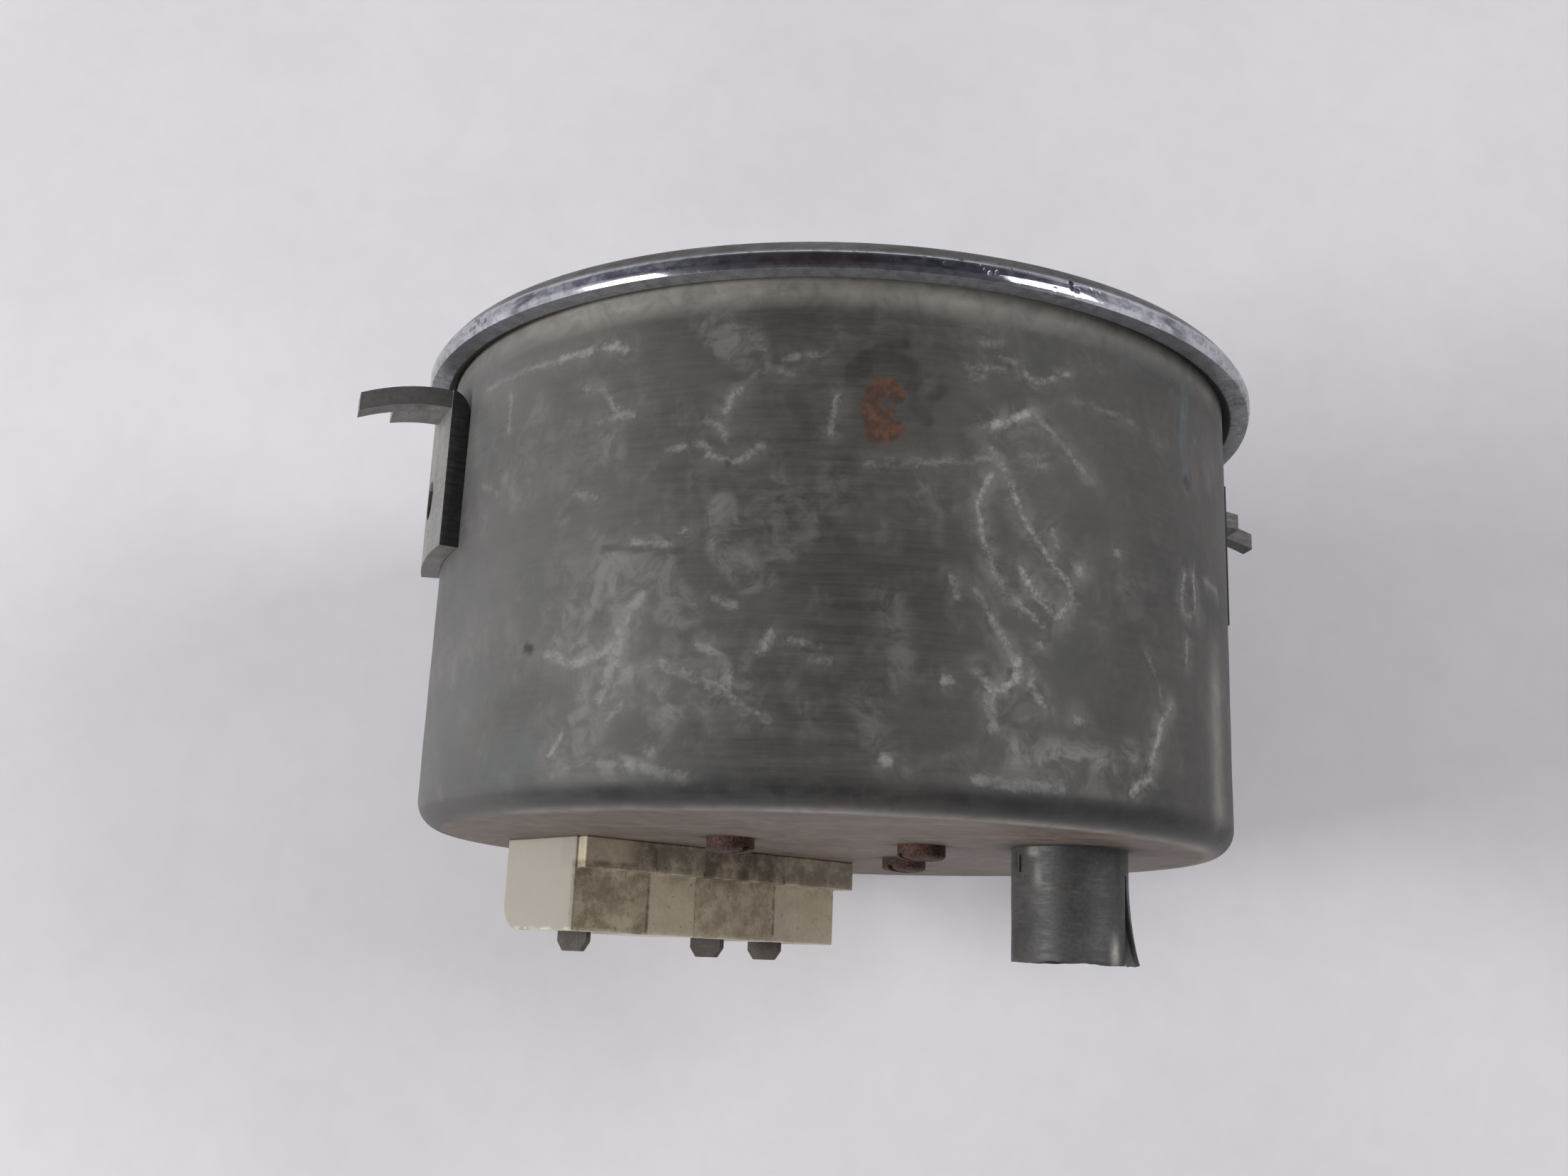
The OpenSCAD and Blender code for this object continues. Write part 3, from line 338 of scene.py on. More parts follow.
# Marks on the can's side as (width, strength, [(angle, station), ...])
SCUFFS = [
    (0.70, 0.55, [(50.2, 5.3), (54.6, 5.1), (60.1, 5.3), (61.3, 6.1)]),
    (0.44, 0.30, [(33.5, 5.2), (47.3, 5.4), (50.2, 5.3)]),
    (0.44, 0.35, [(40.8, 7.5), (40.8, 11.7)]),
    (0.44, 0.45, [(55.0, 9.4), (57.7, 10.3), (59.5, 12.4), (62.7, 13.4)]),
    (0.44, 0.35, [(57.6, 13.7), (61.9, 13.3)]),
    (2.98, 0.33, [(73.1, 4.8), (74.8, 6.9), (76.7, 6.4)]),
    (0.53, 0.50, [(74.7, 14.1), (75.3, 12.3), (76.2, 12.0)]),
    (0.44, 0.35, [(72.4, 14.9), (74.1, 15.8), (75.2, 17.3)]),
    (0.53, 0.40, [(67.5, 17.7), (72.2, 17.4), (73.0, 18.4)]),
    (0.44, 0.35, [(80.6, 8.7), (84.4, 8.4), (86.3, 7.9)]),
    (0.44, 0.30, [(80.3, 9.9), (83.2, 10.4)]),
    (0.44, 0.40, [(72.6, 18.9), (76.6, 19.4), (79.4, 17.7)]),
    (0.44, 0.35, [(34.9, 17.0), (39.3, 18.8)]),
    (0.44, 0.35, [(54.6, 21.3), (58.0, 21.8)]),
    (0.53, 0.45, [(87.1, 16.4), (88.0, 12.4)]),
    (0.70, 0.90, [(105.0, 14.3), (107.5, 13.7), (111.9, 12.1)]),
    (0.35, 0.50, [(112.3, 12.5), (115.6, 14.7), (120.3, 18.0)]),
    (0.35, 0.80, [(106.1, 16.7), (109.8, 22.5), (111.3, 24.7), (114.3, 27.9), (116.7, 29.7),
                  (117.5, 31.6), (114.7, 33.7)]),
    (0.35, 0.80, [(106.1, 19.7), (104.7, 22.5), (105.4, 26.3), (106.2, 28.9), (108.3, 31.5),
                  (111.3, 33.2), (113.1, 34.6)]),
    (0.44, 0.95, [(110.2, 28.9), (112.3, 31.3), (114.3, 32.9)]),
    (2.63, 0.40, [(113.7, 32.9), (115.9, 33.4)]),
    (0.44, 0.50, [(101.3, 30.5), (102.2, 32.6)]),
    (0.44, 0.60, [(104.2, 31.6), (105.9, 33.5), (107.7, 36.2), (108.8, 38.6)]),
    (0.70, 0.95, [(104.9, 39.8), (107.0, 42.1), (109.5, 40.2), (109.5, 38.8)]),
    (1.05, 0.40, [(106.3, 42.5), (107.0, 45.7)]),
    (0.53, 0.70, [(111.1, 39.8), (111.5, 41.2), (113.5, 42.9)]),
    (0.44, 0.50, [(114.3, 24.3), (115.1, 26.0)]),
    (1.58, 0.40, [(94.4, 33.5), (95.1, 36.8), (96.4, 38.9), (94.6, 41.6), (92.1, 43.9), (91.9, 45.5), (93.2, 47.6)]),
    (1.05, 0.60, [(94.2, 48.9), (94.5, 49.3)]),
    (0.88, 0.60, [(101.1, 40.9), (101.5, 40.9)]),
    (0.79, 0.60, [(117.6, 43.4), (118.1, 43.4)]),
    (0.79, 0.60, [(112.2, 37.0), (112.5, 37.0)]),
    (0.70, 0.50, [(124.5, 25.4), (125.0, 25.4)]),
    (0.70, 0.50, [(70.1, 26.5), (70.5, 26.6)]),
    (0.70, 0.50, [(67.5, 48.7), (67.9, 48.8)]),
    (0.70, 0.50, [(80.2, 39.1), (81.1, 37.1)]),
    (0.79, 0.80, [(117.6, 27.5), (118.4, 28.4)]),
    (1.58, 0.75, [(109.5, 47.5), (115.4, 47.3), (121.6, 47.6), (126.8, 46.8)]),
    (1.05, 0.50, [(104.4, 50.5), (109.9, 50.7), (115.8, 50.6)]),
    (0.44, 0.90, [(134.2, 40.4), (132.6, 41.8), (131.6, 44.3), (129.9, 47.1)]),
    (0.88, 0.80, [(129.6, 48.2), (126.2, 50.3)]),
    (0.44, 0.70, [(138.5, 24.9), (137.6, 28.2), (139.0, 29.8), (141.6, 29.1), (141.0, 24.7)]),
    (0.53, 0.50, [(145.4, 24.8), (150.9, 25.0)]),
    (0.53, 0.50, [(138.9, 32.7), (138.7, 34.9)]),
    (0.44, 0.30, [(129.2, 34.8), (131.2, 37.8), (132.3, 40.4)]),
    (0.44, 0.35, [(91.4, 19.7), (104.7, 18.1), (113.5, 16.6)]),
    (0.53, 0.60, [(110.5, 7.9), (112.3, 8.5), (116.4, 6.9)]),
    (0.44, 0.45, [(102.9, 8.6), (108.2, 7.9)]),
    (0.44, 0.45, [(105.2, 5.5), (107.4, 5.1)]),
    (0.44, 0.40, [(107.4, 6.8), (109.3, 6.8)]),
    (0.44, 0.35, [(103.6, 9.5), (105.3, 9.3)]),
    (0.35, 0.30, [(117.7, 10.0), (127.7, 9.9)]),
    (0.44, 0.40, [(110.5, 18.0), (113.5, 17.8)]),
    (1.05, 0.42, [(65.4, 32.9), (63.4, 34.8), (62.6, 37.8), (61.6, 40.5), (60.8, 43.2)]),
    (0.79, 0.42, [(52.1, 38.5), (56.6, 39.7), (59.6, 39.0), (61.8, 38.0)]),
    (2.98, 0.25, [(53.2, 29.1), (58.3, 31.1), (63.4, 33.3)]),
    (0.61, 0.40, [(63.9, 27.7), (68.8, 28.1)]),
    (1.32, 0.42, [(76.7, 26.9), (76.8, 29.6), (78.8, 31.6), (80.1, 31.9)]),
    (0.79, 0.35, [(74.8, 33.6), (76.6, 34.6)]),
    (0.88, 0.42, [(68.4, 40.3), (71.8, 41.5), (76.0, 42.8), (78.3, 44.6), (81.1, 45.7)]),
    (0.70, 0.40, [(72.6, 38.6), (75.6, 39.2), (76.9, 40.8), (76.1, 42.5)]),
    (0.53, 0.50, [(53.7, 48.7), (55.0, 46.8)]),
    (0.53, 0.35, [(62.0, 45.5), (63.8, 44.1)]),
    (2.46, 0.45, [(55.3, 51.4), (57.7, 52.2), (64.4, 51.9)]),
    (1.05, 0.35, [(65.0, 49.9), (72.2, 51.5)]),
    (0.53, 0.40, [(83.1, 37.6), (86.5, 38.3)]),
    (0.53, 0.35, [(85.7, 39.7), (87.7, 39.8)]),
]
HAZES = [
    (3.0, 0.60, [(73.2, 5.0), (74.8, 6.8), (76.6, 6.6), (77.8, 8.6)]),
    (3.5, 0.45, [(66.5, 29.0), (68.0, 33.0), (70.5, 35.0)]),
    (5.0, 0.55, [(61.5, 30.5), (58.5, 33.0), (56.5, 37.0)]),
    (4.0, 0.45, [(63.5, 33.5), (61.5, 39.0), (60.0, 44.0), (57.5, 48.0)]),
    (2.5, 0.60, [(74.8, 24.5), (75.2, 28.5), (78.2, 31.5)]),
    (3.0, 0.40, [(80.5, 24.5), (84.5, 26.5), (82.0, 28.5)]),
    (3.0, 0.40, [(70.5, 38.5), (75.0, 41.0), (79.0, 45.0)]),
    (3.0, 0.50, [(106.5, 42.0), (109.5, 44.5), (112.0, 41.5)]),
    (2.6, 0.60, [(108.5, 14.5), (112.5, 13.0)]),
    (3.0, 0.60, [(109.5, 48.6), (116.0, 49.0), (125.0, 49.6)]),
    (2.6, 0.35, [(104.5, 51.8), (115.5, 52.4)]),
    (3.0, 0.55, [(56.0, 50.2), (64.0, 51.0)]),
    (3.0, 0.35, [(47.0, 12.0), (44.0, 20.0)]),
]
SMUDGES = [
    (1.2, 0.55, [(89.6, 9.6), (91.4, 8.4), (94.2, 8.0), (96.4, 9.0)]),
    (1.0, 0.50, [(96.8, 12.8), (98.2, 14.6)]),
    (0.70, 0.90, [(48.4, 37.3), (49.0, 37.5)]),
    (1.40, 0.35, [(59.8, 35.1), (60.5, 35.2)]),
    (0.88, 0.60, [(90.2, 8.6), (92.4, 7.4), (95.5, 6.7)]),
    (1.05, 0.50, [(89.4, 10.3), (90.9, 9.5)]),
    (0.88, 0.45, [(96.3, 11.4), (96.9, 10.3)]),
    (0.88, 0.45, [(98.6, 12.2), (99.9, 11.3)]),
    (0.44, 0.60, [(59.8, 27.7), (70.3, 28.7)]),
    (0.88, 0.70, [(139.7, 14.2), (140.1, 14.5)]),
    (1.23, 0.35, [(89.0, 27.5), (89.8, 28.6)]),
    (1.23, 0.30, [(82.7, 12.7), (84.5, 15.7)]),
]
RUST_SPOTS = [
    (1.5, 0.70, [(92.0, 12.0), (93.8, 11.3), (94.6, 12.2)]),
    (1.5, 0.68, [(92.0, 12.0), (91.8, 14.2), (92.2, 16.4)]),
    (1.1, 0.60, [(92.2, 14.2), (93.6, 14.3)]),
    (1.3, 0.66, [(92.3, 16.2), (94.0, 16.3), (94.6, 15.6)]),
    (3.0, 0.42, [(92.6, 12.0), (92.4, 16.6)]),
    (4.8, 0.26, [(92.6, 12.4), (92.8, 18.2)]),
]
BLUE_STAINS = [
    (1.23, 0.80, [(139.9, -0.1), (140.1, 4.0), (139.0, 9.4), (139.9, 14.8)]),
    (3.51, 0.35, [(42.9, 49.4), (49.5, 48.3)]),
    (2.63, 0.30, [(126.7, 2.5), (134.2, 2.2)]),
]

# Rust runs on the back as (width, strength, [(x, z), ...])
BACK_RUNS = [
    (3.0, 0.55, [(28.0, 34.0), (8.0, 37.0)]),
    (2.2, 0.45, [(11.0, 18.0), (2.0, 22.0)]),
    (2.6, 0.50, [(-11.3, 12.3), (-16.0, 18.0)]),
    (3.2, 0.75, [(23.0, 14.5), (17.0, 15.0), (12.3, 13.1)]),
    (2.6, 0.50, [(-14.4, 11.5), (-19.2, 5.0), (-24.6, -2.8)]),
    (2.0, 0.40, [(-11.3, -9.6), (-14.0, -4.0)]),
    (2.4, 0.45, [(11.3, 12.3), (15.0, 8.0)]),
    (1.8, 0.35, [(20.0, 26.0), (-4.0, 30.0)]),
    (2.2, 0.35, [(-20.0, 34.0), (-36.0, 26.0)]),
]


# Colours, values and the nodes that work them out

def tone(red, green, blue):
    """A colour written as it shows on a screen, from 0 to 255, as linear values."""
    c = np.array([red, green, blue]) / 255
    linear = np.where(c <= 0.04045, c / 12.92, ((c + 0.055) / 1.055) ** 2.4)
    return (*[float(x) for x in linear], 1.0)


class Flow:
    """A colour or value that a node puts out. Sums, products and the like of flows are math nodes in the same tree."""

    def __init__(self, tree, socket):
        self.tree, self.socket = tree, socket

    def worked(self, operation, a, b=0.0):
        """The result of a math node."""
        return flow(self.tree, "ShaderNodeMath", {0: a, 1: b}, operation=operation)

    def __add__(self, other):
        return self.worked("ADD", self, other)

    def __sub__(self, other):
        return self.worked("SUBTRACT", self, other)

    def __rsub__(self, other):
        return self.worked("SUBTRACT", other, self)

    def __mul__(self, other):
        return self.worked("MULTIPLY", self, other)

    def __rtruediv__(self, other):
        return self.worked("DIVIDE", other, self)

    def __abs__(self):
        return self.worked("ABSOLUTE", self)

    def most(self, other):
        """The larger of the two."""
        return self.worked("MAXIMUM", self, other)

    def held(self):
        """This math node's result, held between 0 and 1."""
        self.socket.node.use_clamp = True
        return self


def put(tree, kind, inputs=None, **settings):
    """A node with its settings made and its inputs filled by values or by flows."""
    node = tree.nodes.new(kind)
    for key, value in settings.items():
        setattr(node, key, value)
    for key, value in (inputs or {}).items():
        if isinstance(value, Flow):
            tree.links.new(value.socket, node.inputs[key])
        else:
            node.inputs[key].default_value = value
    return node


def flow(tree, kind, inputs=None, output=0, **settings):
    """One output of a new node."""
    return Flow(tree, put(tree, kind, inputs, **settings).outputs[output])


def feed(node, **flows):
    """Joins flows to a node's inputs, whose names are written with _ for a space."""
    for label, value in flows.items():
        value.tree.links.new(value.socket, node.inputs[label.replace("_", " ")])


def between(value, low, high, to_low=0.0, to_high=1.0):
    """Maps value from low..high to to_low..to_high by a smooth step, and holds it inside them."""
    inputs = {0: value, 1: low, 2: high, 3: to_low, 4: to_high}
    return flow(value.tree, "ShaderNodeMapRange", inputs, interpolation_type="SMOOTHSTEP")


def laid(amount, under, over):
    """Colour over laid on colour under, by amount."""
    return flow(amount.tree, "ShaderNodeMix", {0: amount, 6: under, 7: over}, 2, data_type="RGBA", clamp_factor=True)


def place(tree, stretch=(1, 1, 1)):
    """The piece's own coordinates, stretched along each axis."""
    own = flow(tree, "ShaderNodeTexCoord", output="Object")
    if stretch == (1, 1, 1):
        return own
    return flow(tree, "ShaderNodeMapping", {"Vector": own, "Scale": stretch})


def noise(tree, scale, detail, rough=0.5, stretch=(1, 1, 1), distortion=0.0):
    """Noise from 0 to 1 over the piece's own coordinates, with scale patches to the metre."""
    inputs = {"Vector": place(tree, stretch), "Scale": scale, "Detail": detail, "Roughness": rough}
    return flow(tree, "ShaderNodeTexNoise", {**inputs, "Distortion": distortion})


def cloudy(tree, size, detail=3.0, rough=0.55, stretch=(1, 1, 1)):
    """Noise whose patches are about size millimetres across, from 0 to 1."""
    return noise(tree, 1 / (size * MM), detail, rough, stretch)


def effect(name, inputs, outputs):
    """An empty shader node group, as (group, its inputs as flows, output node). Inputs and outputs are given by name: a
    colour where the value has four parts, and otherwise a number."""
    tree = bpy.data.node_groups.new(name, "ShaderNodeTree")
    for side, sockets in (("INPUT", inputs), ("OUTPUT", outputs)):
        for label, value in sockets.items():
            kind = "NodeSocketColor" if isinstance(value, tuple) else "NodeSocketFloat"
            socket = tree.interface.new_socket(label, in_out=side, socket_type=kind)
            if side == "INPUT":
                socket.default_value = value
    given = tree.nodes.new("NodeGroupInput")
    return tree, {label: Flow(tree, given.outputs[label]) for label in inputs}, tree.nodes.new("NodeGroupOutput")


GREY = (0.5, 0.5, 0.5, 1)
BLACK = (0.0, 0.0, 0.0, 1)


def mottling_effect():
    """Two colours mixed by cloudy noise, with fine speckle over them. Size is in millimetres."""
    inputs = {"Base": GREY, "Patch": (0.4, 0.4, 0.4, 1), "Size": 10.0, "Speckle": 0.1}
    tree, given, out = effect("mottling", inputs, {"Colour": GREY, "Amount": 0.0})
    scale = 1000.0 / given["Size"]
    amount = between(noise(tree, scale, 5.0, 0.6), 0.34, 0.66)
    grain = between(noise(tree, scale * 14.0, 2.0), 0.35, 0.7) * given["Speckle"]
    colour = laid(grain, laid(amount, given["Base"], given["Patch"]), BLACK)
    feed(out, Colour=colour, Amount=amount)
    return tree


def rusting_effect():
    """Rust in two browns over a base colour, by a mask that noise breaks up, and a height for its crust."""
    inputs = {"Base": GREY, "Deep": (0.05, 0.03, 0.02, 1), "Crust": (0.2, 0.1, 0.06, 1), "Mask": 0.5, "Size": 1.0}
    tree, given, out = effect("rusting", inputs, {"Colour": GREY, "Amount": 0.0, "Height": 0.0})
    scale = 1000.0 / given["Size"]
    broken = noise(tree, scale, 5.0, 0.65)
    crumbs = noise(tree, scale * 4.0, 3.0)
    amount = between(given["Mask"] + (broken - 0.5), 0.30, 0.62)
    brown = laid(between(crumbs * 0.5 + broken * 0.5, 0.36, 0.64), given["Deep"], given["Crust"])
    feed(out, Colour=laid(amount, given["Base"], brown), Amount=amount, Height=crumbs * amount)
    return tree


def pitting_effect():
    """Round pits scattered over a surface: a mask that is 1 in each pit, and a height that sinks there."""
    tree, given, out = effect("pitting", {"Size": 0.6, "Share": 0.3}, {"Mask": 0.0, "Height": 0.0})
    scale = 1000.0 / given["Size"]
    cells = flow(tree, "ShaderNodeTexVoronoi", {"Vector": place(tree), "Scale": scale, "Randomness": 1.0}, "Distance")
    edge = given["Share"] * between(noise(tree, scale * 0.16, 3.0), 0.35, 0.65)
    mask = between(cells, edge, edge + 0.12, 1.0, 0.0)
    feed(out, Mask=mask, Height=0.0 - mask)
    return tree


MOTTLING = mottling_effect()
RUSTING = rusting_effect()
PITTING = pitting_effect()


def use(tree, group, **inputs):
    """The outputs of a shared effect placed in a material's tree with its own values."""
    node = put(tree, "ShaderNodeGroup", {k.capitalize(): v for k, v in inputs.items()}, node_tree=group)
    return {output.name: Flow(tree, output) for output in node.outputs}


def blank_finish(name, **sockets):
    """A material with one principled shader, as (material, tree, shader)."""
    made = bpy.data.materials.new(name)
    made.use_nodes = True
    tree = made.node_tree
    tree.nodes.clear()
    shader = put(tree, "ShaderNodeBsdfPrincipled", {k.replace("_", " "): v for k, v in sockets.items()})
    out = put(tree, "ShaderNodeOutputMaterial")
    tree.links.new(shader.outputs[0], out.inputs[0])
    return made, tree, shader


def coloured(shader, colour, rough=None, height=None, depth=0.05, strength=0.6):
    """Joins a colour, a roughness and a height in millimetres of depth to the shader."""
    feed(shader, Base_Color=colour)
    if rough is not None:
        feed(shader, Roughness=rough)
    if height is not None:
        inputs = {"Height": height, "Distance": depth * MM, "Strength": strength}
        feed(shader, Normal=flow(height.tree, "ShaderNodeBump", inputs))


def plain_finish(name, base, patch, size, rough, speckle=0.2, rough_span=0.08, depth=0.02, **sockets):
    """A moulded or machined finish: mottled colour, roughness that follows the mottling, and a fine grain in its
    height."""
    made, tree, shader = blank_finish(name, **sockets)
    coat = use(tree, MOTTLING, base=tone(*base), patch=tone(*patch), size=size, speckle=speckle)
    worn = between(coat["Amount"], 0, 1, rough - rough_span, rough + rough_span)
    coloured(shader, coat["Colour"], worn, cloudy(tree, size * 0.06, 3.0), depth, 0.5)
    return made


# Finishes of this instrument

def painted(tree, label):
    """The three values painted on the piece's points under a name."""
    colour = flow(tree, "ShaderNodeAttribute", output="Color", attribute_name=label)
    return [Flow(tree, output) for output in put(tree, "ShaderNodeSeparateColor", {0: colour}).outputs]


def worn_can_paint():
    """Grey drawn steel with a satin skin, under light scuffs, dust, smudges, rust and blue stains painted point by
    point. Painted light makes the side towards the key lamp paler and the dust stronger where the lamps' light falls,
    and painted shade darkens the back round the lamp tube's root."""
    metal = 0.15
    made, tree, shader = blank_finish("worn can steel", Metallic=metal, Roughness=0.56, Specular_IOR_Level=0.4)
    inside, strength, spread = painted(tree, "marks")
    pale, rusty, smudges_and_shade = painted(tree, "wear_and_shading")
    dusty, bluish, tanned = painted(tree, "film")
    coat = use(tree, MOTTLING, base=tone(52, 51, 49), patch=tone(65, 63, 60), size=11.0, speckle=0.12)
    lines = cloudy(tree, 9.0, 4.0, 0.7, (1, 16, 1))
    bloom = noise(tree, 340.0, 6.0, 0.66, distortion=0.8)

    colour = laid(between(lines, 0.3, 0.75, 0.0, 0.22), coat["Colour"], tone(98, 97, 94))
    colour = laid(between(cloudy(tree, 16.0, 3.0, 0.6), 0.48, 0.7, 0.0, 0.4), colour, tone(86, 76, 70))
    # Painted light: the paler side towards the key lamp
    colour = laid(pale, colour, tone(122, 122, 121))
    # Dust, partly painted light: its point paint is stronger where the lamps' light falls
    dust = dusty * between(bloom, 0.25, 0.65, 0.55, 1.0)
    colour = laid(dust, colour, tone(146, 142, 134))
    tan = tanned * between(bloom, 0.3, 0.65, 0.3, 1.0)
    colour = laid(tan, colour, tone(140, 121, 105))
    colour = laid(bluish * between(bloom, 0.3, 0.65, 0.2, 1.0), colour, tone(76, 90, 94))

    edge = inside * 1.5 + (cloudy(tree, 0.5, 3.0, 0.65) - 0.5) * 1.1
    broken = between(cloudy(tree, 2.0, 4.0, 0.7), 0.34, 0.62, 0.06, 1.0)
    line = between(edge, 0.62, 1.35) * strength * broken
    haze = (spread * between(bloom, 0.36, 0.64, 0.05, 1.0)).held()
    colour = laid(haze * 0.82, colour, tone(134, 131, 127))
    colour = laid(line * 0.62, colour, tone(172, 171, 167))
    # Smudges, with painted shade round the lamp tube's root
    colour = laid(smudges_and_shade * between(bloom, 0.3, 0.6, 0.5, 1.0), colour, tone(30, 29, 29))
    rust = use(tree, RUSTING, base=colour, deep=tone(56, 39, 31), crust=tone(86, 57, 42), mask=rusty, size=3.0)

    cover = dust.most(tan).most((line * 0.6).most(rust["Amount"])).held()
    feed(shader, Metallic=metal - cover * metal)
    rough = between(lines, 0.3, 0.7, 0.52, 0.6) + cover * 0.15
    coloured(shader, rust["Colour"], rough, cloudy(tree, 0.35, 2.0) * 0.35 + rust["Height"], 0.03, 0.4)
    return made


def pitted_chrome():
    """Old chrome: bright metal with a painted dark violet reflection on its barrel, beige dirt on its nose, a brown
    tint, a few pits, and dust and painted shade in the gap by the can where they are painted."""
    made, tree, shader = blank_finish("pitted chrome", Metallic=1.0, Roughness=0.12)
    # The third painted value, dark, is painted shade in the gap by the can
    pitted, dusty, dark = painted(tree, "wear_and_shading")
    dark_reflection, beige, brown = painted(tree, "film")
    pits = use(tree, PITTING, size=0.9, share=0.34)
    cloud = cloudy(tree, 1.5, 4.0, 0.6, (1, 1.6, 1))

    colour = laid(between(cloud, 0.45, 0.62, 0.0, 0.45), tone(186, 188, 194), tone(112, 108, 122))
    # Painted dark reflection on the barrel
    colour = laid(dark_reflection * between(cloud, 0.34, 0.60, 0.62, 1.0), colour, tone(84, 82, 98))
    colour = laid(brown * 0.6, colour, tone(128, 98, 98))
    spots = pits["Mask"] * pitted
    colour = laid(spots, colour, tone(44, 42, 48))
    dust = dusty * between(cloudy(tree, 1.0, 5.0, 0.7), 0.3, 0.65, 0.45, 1.0)
    colour = laid(dust, colour, tone(72, 70, 67))
    dirt = beige * between(cloudy(tree, 2.2, 4.0, 0.6, (1, 2, 1)), 0.28, 0.6, 0.9, 1.0)
    colour = laid(dirt, colour, tone(60, 58, 54))
    # Painted shade in the gap by the can
    colour = laid(dark, colour, tone(22, 21, 23))

    cover = dust.most(dirt).most(dark)
    feed(shader, Metallic=1.0 - cover * 0.96)
    rough = between(cloud, 0.3, 0.7, 0.05, 0.12) + cover.most(spots) * 0.45
    coloured(shader, colour, rough, pits["Height"] * pitted, 0.04, 0.5)
    return made


def along_connector(tree):
    """The place along the connector, across it and along the instrument's axis, in millimetres, from the piece's own
    coordinates."""
    own = put(tree, "ShaderNodeSeparateXYZ", {0: place(tree)}).outputs
    x, y, z = [Flow(tree, output) * 1000.0 for output in own]
    x, z = x - CONN_AT[0], z - CONN_AT[1]
    return x * CONN_ALONG[0] + z * CONN_ALONG[1], x * CONN_ACROSS[0] + z * CONN_ACROSS[1], y


def dirty_ivory():
    """Ivory plastic, clean at its left end, with brown dirt on its near side, heavier on some panels, on its foot and
    in its creases, and a painted shadow of a back screw on its foot."""
    made, tree, shader = blank_finish("dirty ivory plastic", Roughness=0.5)
    t, s, y = along_connector(tree)
    coat = use(tree, MOTTLING, base=tone(212, 199, 172), patch=tone(198, 184, 156), size=7.0, speckle=0.08)
    clouds = cloudy(tree, 2.6, 7.0, 0.72)
    near = between(s, 0.2, 1.0, 1.0, 0.0)
    clear_foot = between(y, BACK_Y + 2.6, BACK_Y + 3.2, 0.8, 0.0) * between(t, 6.0, 10.0, 1.0, 0.0)

    # Each panel's share of dirt changes at its crease
    panels = between(t, 18.8, 19.2, 0.0, 0.38) + between(t, 32.5, 32.9, 0.0, -0.36)
    panels = between(t, 11.1, 11.5, 0.46, 0.12) + panels
    smear = (between(clouds, 0.30, 0.68, 0.3, 1.6) * panels * (near - clear_foot)).held()
    clean = laid(between(t, 0.05, 0.4, 1.0, 0.0) * 0.9, coat["Colour"], tone(146, 140, 131))
    colour = laid(smear, clean, tone(98, 78, 50))

    foot = between(y, BACK_Y + 2.9, BACK_Y + 4.2, 1.0, 0.0) * between(s, 2.6, 3.6, 1.0, 0.0)
    # Dirt on the foot, growing from 7 to 12 mm along, and from 24.5 mm a painted shadow of the screw head, which ends
    # at 27.4 to 28.2 mm where the dirt also thins
    foot_dirt_and_screw_shadow = between(t, 7.0, 12.0, 0.12, 0.52) + between(t, 24.5, 25.8, 0.0, 0.28)
    foot_dirt_and_screw_shadow = foot * (foot_dirt_and_screw_shadow - between(t, 27.4, 28.2, 0.0, 0.42))
    colour = laid((foot_dirt_and_screw_shadow * between(clouds, 0.28, 0.6, 0.6, 1.15)).held(), colour, tone(92, 80, 66))
    low = between(y, BACK_Y + 3.4, BACK_Y + 6.0, 0.4, 0.0) * (near - clear_foot)
    colour = laid((low * between(clouds, 0.35, 0.6)).held(), colour, tone(64, 53, 41))

    body = between(y, BACK_Y + 3.0, BACK_Y + 3.4)
    for crease in CONN_CREASES:
        line = between(abs(t - crease), 0.0, 0.4, 0.85, 0.0)
        colour = laid(line * (near * body) * between(clouds, 0.36, 0.56, 0.15, 1.0), colour, tone(56, 46, 35))
    flecks = between(cloudy(tree, 0.8, 4.0, 0.7), 0.62, 0.68, 0.0, 0.7)
    colour = laid(flecks * (near * 0.65 + 0.1), colour, tone(48, 39, 30))
    rim = between(y, BACK_Y + 10.7, BACK_Y + 11.1) * between(cloudy(tree, 1.2, 4.0, 0.7), 0.4, 0.6)
    colour = laid(rim * 0.7, colour, tone(206, 198, 182))
    coloured(shader, colour, between(smear, 0, 1, 0.45, 0.7), cloudy(tree, 0.5, 3.0), 0.06, 0.5)
    return made


def rusty_steel(name, mask, base, deep, crust):
    """Steel with rust over the share that mask names, in a deep and a crusty brown."""
    made, tree, shader = blank_finish(name, Metallic=0.1, Roughness=0.62)
    darker = tuple(0.7 * c for c in base[:3]) + (1,)
    coat = use(tree, MOTTLING, base=base, patch=darker, size=2.0, speckle=0.3)
    rust = use(tree, RUSTING, base=coat["Colour"], deep=deep, crust=crust, mask=mask, size=1.1)
    coloured(shader, rust["Colour"], between(rust["Amount"], 0, 1, 0.5, 0.77), rust["Height"], 0.12, 0.8)
    return made


